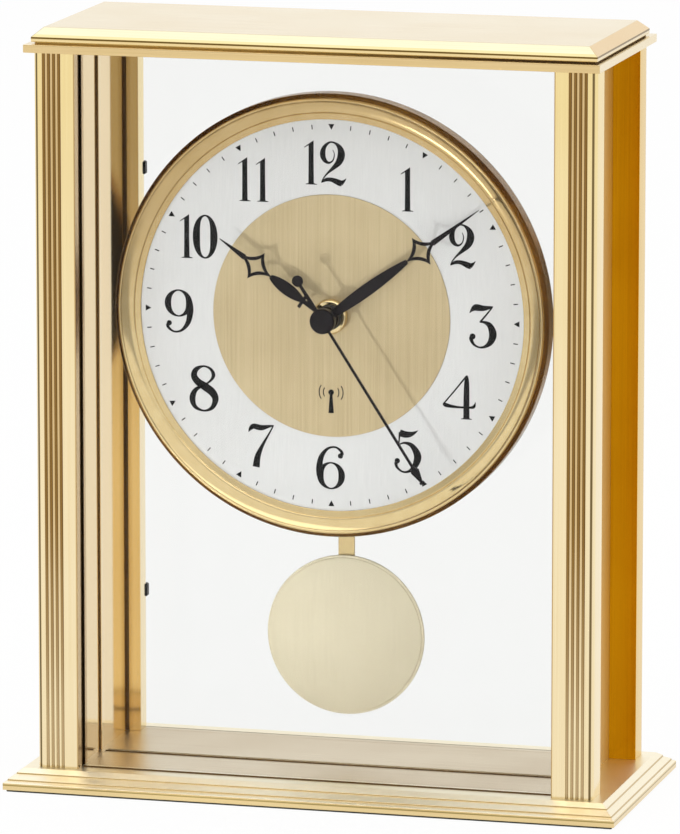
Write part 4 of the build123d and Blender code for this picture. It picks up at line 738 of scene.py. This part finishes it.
# painted shade: the upright steps between the plinth's bands darker
plinth_step_shades = [
    (f"Plinth step {number}", [between(top - BAND_STEP - STEP_FOOT, top + STEP_HEAD)],
     (0.64, 0.47, 0.22), (0.54, 0.38, 0.16), 0.20, 0.30)
    for number, top in enumerate(step_tops[:2])
]
plinth_brass = layered(
    brushed("Plinth brass", FINE_X, (1.0, 0.93, 0.74), (0.98, 0.89, 0.67), 0.34, 0.42), FINE_X,
    *plinth_step_shades,
    # painted reflection: the plinth's nose a deeper gold
    ("Plinth nose", [between(0.0, step_tops[2])], (0.84, 0.66, 0.35), (0.76, 0.57, 0.27), 0.14, 0.22),
    # painted shade: dark line just under the top edge of the nose
    ("Plinth nose line", [between(*NOSE_SHADOW_LINE)], (0.46, 0.34, 0.12), (0.36, 0.26, 0.08), 0.20, 0.30))
bezel_brass = layered(
    brushed("Turned brass", EVEN, (0.84, 0.67, 0.37), (0.75, 0.57, 0.28), 0.10, 0.16), EVEN,
    # painted reflection: the bezel a darker gold above the arbor
    ("Bezel upper", [rising("Z", DIAL_Z - 15, DIAL_Z + 30)],
     (0.66, 0.49, 0.25), (0.55, 0.39, 0.17), 0.10, 0.16),
    # painted reflection: dark bronze on the bezel's wall and shoulder
    ("Bezel wall", [outer_bezel], (0.30, 0.165, 0.045), (0.16, 0.080, 0.020), 0.20, 0.30))


def glass_material():
    """Float glass: clear transmission that lets lamps through, with faint smears in its roughness."""
    material = grained("Clear glass", 90.0, (0.982, 0.983, 0.979), (0.976, 0.978, 0.973), 0.0, 0.008,
                       **{"Transmission Weight": 1.0, "IOR": 1.15})
    tree = material.node_tree
    through = tree.nodes.new("ShaderNodeBsdfTransparent")
    through.inputs["Color"].default_value = (0.96, 0.97, 0.965, 1)
    mix_shaders(tree, ray_mask(tree, "Is Shadow Ray"), through.outputs["BSDF"])
    return material


clear_glass = glass_material()


# CAD nodes that keep their shape: a finish, the width of their rounded edges, and their names

for finish, edge, *names in (
    (panel_brass, 0.0, "left_side_panel", "right_side_panel"),
    (brushed_brass, 0.0, "floor_front", "floor_rear"),
    (rod_brass, 0.12, "pendulum_rod"),
    (clear_glass, 0.0, "front_glass", "dial_glass", "rear_glass"),
    (dark_seal_and_shade, 0.0, "panel_seals"),
    (black_plastic, 0.25, "rear_glass_clips", "movement_cover"),
    (black_plastic, 0.0, "dial_pan", "movement_housing", "pendulum_hanger"),
    (silver_dial, 0.0, "dial_plate"),
    (champagne_dial, 0.08, "dial_centre"),
    (polished_brass, 0.15, "hand_nut"),
    (black_lacquer, 0.09, "hour_hand", "minute_hand", "second_hand"),
    (steel, 0.0, "base_screws", "top_screws", "cover_screws", "bob_screw"),
    (steel, 0.0, "pivot_pin", "second_arbor", "battery_contacts"),
    (gear_plastic, 0.0, "hour_wheel", "minute_arbor", "motion_wheel", "train_plate"),
    (battery_jacket, 0.0, "battery"),
    (board_green, 0.0, "circuit_board"),
    (copper_winding, 0.0, "minute_motor", "second_motor", "drive_coil"),
    (ferrite, 0.0, "ferrite_antenna"),
    (nickel, 0.0, "pendulum_magnet"),
    (button_grey, 0.15, "set_button", "receive_button"),
):
    for name in names:
        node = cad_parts[name]
        for place in node.material_slots:
            place.material = finish
        if edge:
            soften_edges(node, edge, weld=True)


# Seals, base and top

def seal_channel():
    """Section of a seal round the front pane's edge: a channel, open towards the clock's middle."""
    near_y, far_y = FRONT_PANE_Y
    back = FRONT_PANE_EDGE + SEAL_WALL
    return [(SEAL_FACE, near_y - SEAL_WALL), (back, near_y - SEAL_WALL), (back, far_y + SEAL_WALL),
            (SEAL_FACE, far_y + SEAL_WALL), (SEAL_FACE, far_y), (FRONT_PANE_EDGE, far_y),
            (FRONT_PANE_EDGE, near_y), (SEAL_FACE, near_y)]


def rectangle(x_range, y_range):
    """Four corners of a rectangle between two places each way."""
    (left, right), (low, high) = x_range, y_range
    return np.array([(left, low), (right, low), (right, high), (left, high)])


def upright(outline, low=FLOOR_Z, high=CEILING_Z):
    """Level outline carried straight up, once on each side of the clock."""
    return joined([prism(np.multiply(outline, (side, 1)), 2, low, high) for side in (-1, 1)])


def floor_strip(half, middle_y, rise):
    """Thin strip across the floor, its lower face a little inside the floor."""
    return loft(rounded_rings(*half, [FLOOR_Z - STRIP_SINK, FLOOR_Z + rise], STRIP_ROUND, middle_y))


def margin_surface():
    """Margins of the floor sheets: one along each side panel and one along the rear pane."""
    side = rectangle((MARGIN_START, PANEL_FACE), (-MARGIN_REACH, MARGIN_REACH))
    return joined([upright(side, FLOOR_Z - STRIP_SINK, FLOOR_Z + MARGIN_RISE),
                   floor_strip(REAR_MARGIN, REAR_MARGIN_Y, MARGIN_RISE)])


def foot_surface():
    """Painted shade: dark strips on the floor along the front of each pane's foot, where the feet stand in
    shadow.
    """
    return joined([floor_strip((FOOT_REACH, width / 2), pane - width / 2, rise)
                   for pane, (width, rise) in zip(PANE_FEET, FOOT_STRIPS)])


def plinth_surface():
    """Stepped plinth: a profile of bands and steps carried round a rectangle, with a shallow seat on top
    for the floor."""
    levels = [(FLOOR_Z, -PLATEAU_RUN, -PLATEAU_RUN), (FLOOR_Z, 0.0, 0.0)]
    for side, front, drop in zip(BAND_RUNS_SIDE, BAND_RUNS_FRONT, BAND_DROPS):
        height, out_side, out_front = levels[-1]
        levels.append((height - drop, out_side + side, out_front + front))
        levels.append((height - drop - BAND_STEP, out_side + side, out_front + front))
    levels[-1] = (FELT_TOP, *levels[-1][1:])
    profile = soften(levels[::-1], EDGE_ROUND)
    skirt = rounded_rings(PLATEAU[0] + profile[:, 1], PLATEAU[1] + profile[:, 2], profile[:, 0], MITRE_ROUND)
    seat = rounded_rings(*FLOOR_RECESS, [FLOOR_Z, FLOOR_Z - FLOOR_RECESS_DEPTH], MITRE_ROUND,
                         FLOOR_RECESS_MIDDLE)
    return loft(np.concatenate([skirt, seat]))


def plate_surface(half, *levels):
    """Plate with rounded edges: rectangles at (inset, height) levels from its underside to its top, the
    corners between them softened."""
    (first, low), (last, high) = levels[0], levels[-1]
    profile = soften([(first + PLATE_RUN, low), *levels, (last + PLATE_RUN, high)], EDGE_ROUND)
    return loft(rounded_rings(half[0] - profile[:, 0], half[1] - profile[:, 0], profile[:, 1], MITRE_ROUND))


dial_strip = rectangle((PANEL_FACE - DIAL_STRIP_WIDTH, PANEL_FACE), DIAL_STRIP_Y)
dial_fillet = rectangle((DIAL_PANE_EDGE, PANEL_FACE), DIAL_FILLET_Y)
felt = plate_surface(FELT, (0, 0), (0, FELT_TOP))
flange = plate_surface(FLANGE, (0, CEILING_Z), (0, FLANGE_TOP_Z))
spacer = plate_surface(SPACER, (0, FLANGE_TOP_Z), (0, SLAB_Z))
slab = plate_surface(SLAB, (0, SLAB_Z), (0, SLAB_FACE_Z), (BEVEL_RUN, SLAB_TOP_Z))
add_piece("front_seals", upright(seal_channel()), dark_seal_and_shade, ["front_glass_seals"])
add_piece("dial_seals", upright(dial_strip), dark_seal_and_shade, ["dial_glass_seals"])
add_piece("dial_fillets", upright(dial_fillet), panel_brass)
add_piece("floor_margins", margin_surface(), brushed_brass)
add_piece("plinth", plinth_surface(), plinth_brass, ["base_plinth"])
# painted shade: dark strips where the panes' feet stand in shadow
add_piece("pane_foot_shades", foot_surface(), dark_seal_and_shade)
add_piece("felt", felt, dark_felt, ["felt_pad"])
add_piece("flange", flange, flange_brass, ["top_flange"])
add_piece("spacer", spacer, gap_shade_and_reflection, ["top_spacer"])
add_piece("slab", slab, slab_brass, ["top_slab"])


# Columns

def column_outline(width, seat):
    """Section of a column from its outer corner: u runs inwards along the face, v runs back from it."""
    chord = np.degrees(np.arccos((FLUTE_RADIUS - FLUTE_DEPTH) / FLUTE_RADIUS))
    corner = arc((COLUMN_ROUND, COLUMN_ROUND), COLUMN_ROUND, 180, 270, 9)
    centres = FLUTE_START + FLUTE_PITCH * np.arange(FLUTE_COUNT)
    hollow = arc((0.0, FLUTE_DEPTH - FLUTE_RADIUS), FLUTE_RADIUS, 90 + chord, 90 - chord, 11)
    flutes = (hollow[None] + np.stack([centres, 0 * centres], axis=-1)[:, None]).reshape(-1, 2)
    inner = width - GLASS_SEAT
    notch = [(width, seat[0]), (inner, seat[0]), (inner, seat[1]), (width, seat[1])]
    face_end = [(width, 0.0), *notch] if seat[0] > 0 else notch[1:]
    groove_end = COLUMN_DEPTH - PANEL_SEAT
    back = [(width, COLUMN_DEPTH), (PANEL_GROOVE[1], COLUMN_DEPTH), (PANEL_GROOVE[1], groove_end),
            (PANEL_GROOVE[0], groove_end), (PANEL_GROOVE[0], COLUMN_DEPTH), (0.0, COLUMN_DEPTH)]
    return np.concatenate([corner, flutes, np.array(face_end + back)])


for end_name, end, width, seat in (("front", -1, COLUMN_WIDTH, FRONT_SEAT),
                                   ("rear", 1, REAR_COLUMN_WIDTH, REAR_SEAT)):
    section = (HALF_WIDTH, HALF_DEPTH) - column_outline(width, seat)
    for side_name, side in (("left", -1), ("right", 1)):
        corner_name = f"{end_name}_{side_name}"
        column = prism(section * (side, end), 2, FLOOR_Z, CEILING_Z)
        post = add_piece(f"{corner_name}_post", column, column_brass,
                         [f"{corner_name}_column"], sharp=180.0)
        soften_edges(post, COLUMN_EDGE)


# Bezel and bob

def bezel_surface():
    """Bezel: a wall, a sloping shoulder, a half-round bead, a hollow band and a flat lip, turned round
    the arbor."""
    bead_x = BEZEL_RADIUS - BEZEL_SHOULDER - BEZEL_BEAD / 2
    bead = arc((bead_x, BEZEL_BEAD_Y), BEZEL_BEAD / 2, 0, -180, 13)
    t = np.linspace(0, 1, 17)[:, None]
    outer = np.array([bead_x - BEZEL_BEAD / 2 - BEZEL_QUIRK, BEZEL_BEAD_Y + BEZEL_QUIRK])
    inner = np.array([BEZEL_LIP_RADIUS + BEZEL_LIP_FACE + BEZEL_QUIRK, BEZEL_LIP_Y - BEZEL_QUIRK])
    slope = (inner - outer) / np.linalg.norm(inner - outer)
    band = outer + (inner - outer) * t - np.array([-slope[1], slope[0]]) * 4 * BEZEL_COVE * t * (1 - t)
    lip = soften([inner, inner + (-BEZEL_QUIRK, BEZEL_QUIRK), inner + (-2 * BEZEL_QUIRK, 0),
                  (BEZEL_LIP_RADIUS, BEZEL_LIP_Y), (BEZEL_LIP_RADIUS, DIAL_FACE_Y)], BEZEL_LIP_ROUND)
    back = np.array([(BEZEL_WALL_RADIUS, DIAL_FACE_Y), (BEZEL_WALL_RADIUS, BEZEL_BACK_Y)])
    wall = soften([(BEZEL_RADIUS - 1, BEZEL_BACK_Y), (BEZEL_RADIUS, BEZEL_BACK_Y),
                   (BEZEL_RADIUS, BEZEL_BEAD_Y + BEZEL_SHOULDER), bead[0] + BEZEL_BEAD_FOOT],
                  BEZEL_WALL_ROUND)
    return revolve(np.concatenate([bead, band, lip[1:], back, wall]), DIAL_Z, steps=256)


def bob_surface():
    """Bob: a shallow dome, y rising with the square of the radius, inside a stepped rim."""
    radius = np.linspace(BOB_HUB, BOB_RIM_RADIUS, 15)
    dome = BOB_FRONT_Y + (BOB_STEP_Y - BOB_FRONT_Y) * (radius / BOB_RIM_RADIUS) ** 2
    rim = soften([(BOB_RIM_RADIUS, BOB_STEP_Y), (BOB_RIM_RADIUS + BOB_RIM_SLOPE, BOB_EDGE_Y),
                  (BOB_RADIUS, BOB_EDGE_Y), (BOB_RADIUS, BOB_BACK_Y), (BOB_HUB, BOB_BACK_Y)], BOB_RIM_ROUND)
    return revolve(np.concatenate([np.stack([radius, dome], axis=-1), rim[1:]]), BOB_Z, steps=160)


add_piece("bezel_ring", bezel_surface(), bezel_brass, ["bezel"])
add_piece("bob", bob_surface(), bob_brass, ["pendulum_bob"], body="pendulum")


# Numbers on the dial: strokes of (x, z, half width) and plates, in thousandths of the number's height

def stroke(*points, closed=False):
    """Edges of a smooth stroke through given points."""
    path = smooth_curve(points, closed) * (1, 1, STROKE_WEIGHT)
    path[:, 2] = np.maximum(path[:, 2], FINEST_STROKE)
    return ribbon(path, closed), closed


def oval(centre, half, heavy, fine):
    """Closed stroke round an oval: heavy at the sides and fine at top and bottom."""
    angle = np.linspace(0, 2 * np.pi, 72, endpoint=False)
    width = STROKE_WEIGHT * (fine + (heavy - fine) * np.abs(np.cos(angle)) ** 1.5)
    path = np.stack([centre[0] + (half[0] - width) * np.cos(angle),
                     centre[1] + (half[1] - width) * np.sin(angle), width], axis=-1)
    return ribbon(path, True), True


def plate(*outline):
    """Flat shape with straight edges."""
    return np.array(outline), None


def ball(x, z, radius):
    """Round end of a stroke: a disc."""
    return arc((x, z), radius, 0, 345, 24), None


def foot(middle, half):
    """Flat serif under a stem, a little thicker in the middle."""
    low, high, share = SERIF
    right = [(half, 0), (half, low), (half * share, high)]
    return plate(*((middle + x, z) for x, z in right), *((middle - x, z) for x, z in right[::-1]))


def turned(shapes, width):
    """Shapes turned half round within their number's own box."""
    flip = np.array([width, 1000.0])
    return [
        ((flip - shape, closed) if closed is None else ((flip - shape[0], flip - shape[1]), closed))
        for shape, closed in shapes
    ]


ONE = [
    stroke((160, 920, 48), (160, 500, 48), (160, 10, 52)),
    plate((0, 845), (218, 1000), (218, 910), (102, 885), (12, 830)),
    foot(165, 130),
]
TWO = [
    stroke((293, 800, 6), (328, 700, 9), (295, 565, 13), (196, 505, 22),
           (95, 575, 42), (58, 707, 52), (100, 860, 36), (217, 967, 18),
           (345, 955, 20), (455, 850, 50), (490, 700, 70), (440, 540, 62),
           (326, 413, 40), (174, 272, 18), (76, 152, 12), (33, 60, 10)),
    stroke((28, 55, 10), (130, 118, 32), (250, 128, 38), (370, 92, 52),
           (460, 56, 56), (500, 50, 50)),
    stroke((480, 55, 50), (550, 105, 24), (604, 165, 4)),
]
THREE = [
    stroke((10, 790, 4), (66, 862, 30), (154, 920, 62), (319, 912, 52),
           (450, 930, 32), (549, 958, 8)),
    stroke((535, 945, 14), (407, 780, 16), (253, 593, 18)),
    stroke((242, 598, 12), (363, 593, 28), (484, 516, 55), (549, 330, 72),
           (495, 154, 55), (385, 55, 30), (253, 22, 18), (121, 77, 22),
           (55, 180, 34), (45, 250, 36)),
    ball(82, 265, 68),
]
FOUR = [
    stroke((565, 1000, 14), (560, 860, 45), (555, 500, 55), (555, 10, 58)),
    stroke((555, 985, 16), (280, 640, 14), (20, 325, 14)),
    stroke((8, 325, 10), (70, 310, 38), (200, 285, 30), (400, 270, 20),
           (620, 272, 20), (725, 295, 28), (765, 400, 4)),
    foot(555, 125),
]
FIVE = [
    stroke((135, 915, 66), (250, 885, 62), (360, 888, 53), (460, 924, 30),
           (560, 985, 4)),
    stroke((135, 930, 22), (125, 800, 16), (112, 645, 13)),
    stroke((108, 645, 10), (254, 690, 22), (424, 627, 45), (549, 407, 70),
           (492, 186, 55), (356, 50, 26), (203, 30, 18), (75, 125, 24),
           (42, 240, 34)),
    ball(78, 275, 62),
]
SEVEN = [
    stroke((8, 800, 4), (55, 880, 34), (130, 935, 50), (300, 910, 52),
           (450, 940, 32), (600, 975, 8)),
    stroke((585, 960, 12), (480, 764, 16), (335, 509, 30), (225, 255, 55),
           (185, 5, 68)),
]
EIGHT = [
    stroke((300, 1010, 18), (130, 930, 46), (80, 785, 60), (172, 645, 68),
           (335, 545, 76), (505, 424, 74), (580, 265, 60), (500, 70, 38),
           (310, -8, 18), (105, 75, 38), (40, 270, 58), (115, 460, 42),
           (300, 570, 18), (465, 685, 22), (535, 820, 36), (465, 955, 26),
           closed=True),
]
NINE_WIDTH = 660
NINE = [
    oval((325, 685), (325, 312), 62, 14),
    stroke((590, 700, 58), (598, 500, 60), (545, 250, 46), (400, 70, 24),
           (225, 30, 18), (90, 115, 26), (62, 205, 34)),
    ball(105, 225, 60),
]
SIX = turned(NINE, NINE_WIDTH)
ZERO = [oval((290, 500), (290, 500), 70, 15)]

# Shapes and width of each digit, step to a second digit, and each number's shift in millimetres
DIGITS = ((ZERO, 580), (ONE, 300), (TWO, 610), (THREE, 620), (FOUR, 770),
          (FIVE, 620), (SIX, NINE_WIDTH), (SEVEN, 610), (EIGHT, 620), (NINE, NINE_WIDTH))
PAIR_STEP = {10: 300, 11: 415, 12: 370}
NUMBER_SHIFT = ((0.2, -1.0), (0.3, -0.3), (0.3, -1.2), (-0.7, 0.4), (0.4, 0.1), (-0.2, 0.2),
                (1.4, -0.4), (0.4, -0.8), (-1.3, -0.7), (0.0, -0.9), (0.1, 0.2), (-0.8, -0.2))


def printed(shapes, scale, corner, face_y):
    """Surfaces of printed shapes: scaled, moved to their place and given the thickness of the ink."""
    surfaces = []
    for layer, (shape, closed) in enumerate(shapes):
        front = face_y - PRINT_THICKNESS - layer * PRINT_LAYER
        if closed is None:
            surfaces.append(prism(shape * scale + corner, 1, face_y, front))
        else:
            edges = [edge * scale + corner for edge in shape]
            surfaces.append(thick_ribbon(edges, face_y, front, closed))
    return surfaces


def numeral_surface(hour, shift):
    """Number of an hour, upright, with its middle near the circle of numbers, set one by one."""
    digits = [int(digit) for digit in str(hour)]
    step = PAIR_STEP.get(hour, 0.0)
    width = step + DIGITS[digits[-1]][1]
    middle = NUMERAL_RADIUS * np.array([sin(radians(30 * hour)), cos(radians(30 * hour))]) + shift
    corner = middle + (PAIR_SHIFT * (len(digits) - 1), DIAL_Z) - NUMERAL_UNIT * np.array([width / 2, 500])
    surfaces = []
    for place, digit in enumerate(digits):
        start = corner + (place * step * NUMERAL_UNIT, 0)
        surfaces += printed(DIGITS[digit][0], NUMERAL_UNIT, start, DIAL_FACE_Y)
    return joined(surfaces)


def mark_surface(outline, turns):
    """One mark repeated round the dial: its outline, moved out to its circle and turned by each angle."""
    turn = np.radians(turns)[:, None]
    x = outline[:, 0]
    z = outline[:, 1] + MARK_RADIUS
    spread = np.stack([x * np.cos(turn) + z * np.sin(turn),
                       z * np.cos(turn) - x * np.sin(turn) + DIAL_Z], axis=-1)
    return joined([prism(mark, 1, DIAL_FACE_Y, DIAL_FACE_Y - PRINT_THICKNESS) for mark in spread])


def signal_shapes():
    """Plain signal symbol: a tapered post under a ball, with two arcs on each side."""
    shapes = [plate(*SIGNAL_POST), ball(*SIGNAL_BALL, SIGNAL_BALL_RADIUS)]
    for side in (0, 180):
        for reach in SIGNAL_WAVES:
            wave = arc(SIGNAL_BALL, reach, side - SIGNAL_SPREAD, side + SIGNAL_SPREAD, 15)
            shapes.append((ribbon(np.insert(wave, 2, SIGNAL_LINE, axis=1)), False))
    return shapes


for hour, shift in enumerate(NUMBER_SHIFT, start=1):
    add_piece(f"number_{hour}", numeral_surface(hour, shift), dial_ink, sharp=PRINT_SHARP)
triangle = HOUR_MARK * np.array([(0.0, -1.0), (1.0, 0.9), (-1.0, 0.9)])
dash = rectangle((-1, 1), (-1, 1)) * MINUTE_MARK
minutes = np.arange(60)
add_piece("hour_marks", mark_surface(triangle, 30.0 * np.arange(12)), dial_ink)
add_piece("minute_marks", mark_surface(dash, 6.0 * minutes[minutes % 5 > 0]), dial_ink)
signal = joined(printed(signal_shapes(), 1.0, np.array([0.0, DIAL_Z - SIGNAL_DROP]), CENTRE_FACE_Y))
add_piece("signal_symbol", signal, dial_ink, sharp=PRINT_SHARP)


# Floor, light and camera

def floor_fade(tree):
    """Brightness of the floor behind the panes: it falls off to the left and right in front of the clock."""
    place = axes(tree, coordinates(tree))
    front = stretched(tree, place["Y"], *FADE_FRONT[:2])
    fade = stretched(tree, front, 0.0, 1.0, *FADE_FRONT[2:])
    for start, end, bright, dim in (FADE_RIGHT, FADE_LEFT):
        side = times(tree, front, stretched(tree, place["X"], start, end))
        fade = times(tree, fade, stretched(tree, side, 0.0, 1.0, bright, dim))
    return fade


def studio_floor():
    """Pale floor: diffuse where light falls on it, near white where the camera, metal or glass sees it."""
    mesh = bpy.data.meshes.new("studio_floor")
    reach = (-FLOOR_HALF, FLOOR_HALF)
    mesh.from_pydata(np.insert(rectangle(reach, reach), 2, 0.0, axis=1).tolist(), [], [[0, 1, 2, 3]])
    floor = link_object("studio_floor", mesh)
    material = grained("Pale floor", 40.0, (0.93, 0.93, 0.93), (0.90, 0.90, 0.90), 0.7, 0.8)
    tree = material.node_tree
    glow = tree.nodes.new("ShaderNodeEmission")
    glow.inputs["Color"].default_value = WHITE
    level = mix_node(tree, ray_mask(tree, "Is Transmission Ray"), FLOOR_WHITE, floor_fade(tree))
    plug(tree, level, glow.inputs["Strength"])
    seen = ray_mask(tree, "Is Camera Ray", "Is Glossy Ray", "Is Transmission Ray")
    mix_shaders(tree, times(tree, seen, FLOOR_GLOW), glow.outputs["Emission"])
    mesh.materials.append(material)
    floor.visible_shadow = False


def studio_world():
    """White surround for the camera and the glass; metal sees it fall off towards a darker front."""
    world = bpy.data.worlds.new("Studio")
    bpy.context.scene.world = world
    world.use_nodes = True
    tree = world.node_tree
    surround = tree.nodes["Background"].inputs
    direction = axes(tree, coordinates(tree, "Generated"))
    behind = stretched(tree, direction["Y"], *WORLD_BEHIND)
    above = stretched(tree, direction["Z"], *WORLD_ABOVE)
    bright = stretched(tree, math_node(tree, "MAXIMUM", behind, above), 0.0, 1.0, *WORLD_GLOSS)
    level = mix_node(tree, ray_mask(tree, "Is Glossy Ray"), WORLD_LIGHT, bright)
    level = mix_node(tree, ray_mask(tree, "Is Camera Ray", "Is Transmission Ray"), level, 1.0)
    plug(tree, level, surround["Strength"])
    surround["Color"].default_value = WHITE


def aim_at(holder, place, aim):
    """Moves an object to a place and turns its own -Z to the aim."""
    place, aim = np.array(place, dtype=float), np.array(aim, dtype=float)
    back = (place - aim) / np.linalg.norm(place - aim)
    right = np.cross((0.0, 0.0, 1.0), back)
    right /= np.linalg.norm(right)
    turn = np.eye(4)
    turn[:3] = np.column_stack([right, np.cross(back, right), back, place])
    holder.matrix_world = Matrix(turn.tolist())


def lamp(name, kind, place, aim, **settings):
    """Lamp at a place, turned to shine on its aim, with its settings by name."""
    light = bpy.data.lights.new(name, kind)
    for setting, value in settings.items():
        setattr(light, setting, value)
    aim_at(link_object(name, light), place, aim)


def photo_camera():
    """Camera on the photograph's line of sight."""
    azimuth, elevation = radians(CAMERA_AZIMUTH), radians(CAMERA_ELEVATION)
    line = np.array([sin(azimuth) * cos(elevation), -cos(azimuth) * cos(elevation), sin(elevation)])
    target = np.array(CAMERA_TARGET)
    camera = bpy.data.cameras.new("photo_camera")
    camera.lens = CAMERA_LENS
    camera.clip_end = CAMERA_RANGE
    holder = link_object("photo_camera", camera)
    aim_at(holder, (target + CAMERA_DISTANCE * line) * MM, target * MM)
    bpy.context.scene.camera = holder


studio_floor()
studio_world()
lamp("top_softbox", "AREA", place=(0.15, -0.35, 1.8), aim=(0.0, 0.0, 0.12), energy=12.0, size=2.2)
lamp("dial_lamp", "SPOT", place=(-1.16, -2.0, -0.94), aim=(0.0, 0.0, 0.1565), energy=44.0,
     spot_size=radians(4.2), spot_blend=SPOT_BLEND, shadow_soft_size=0.04)
lamp("bob_lamp", "SPOT", place=(-1.16, -2.0, -0.30), aim=(0.0, 0.006, 0.048), energy=30.0,
     spot_size=radians(2.2), spot_blend=SPOT_BLEND, shadow_soft_size=0.01)
photo_camera()
bpy.context.scene.view_settings.view_transform = "Standard"
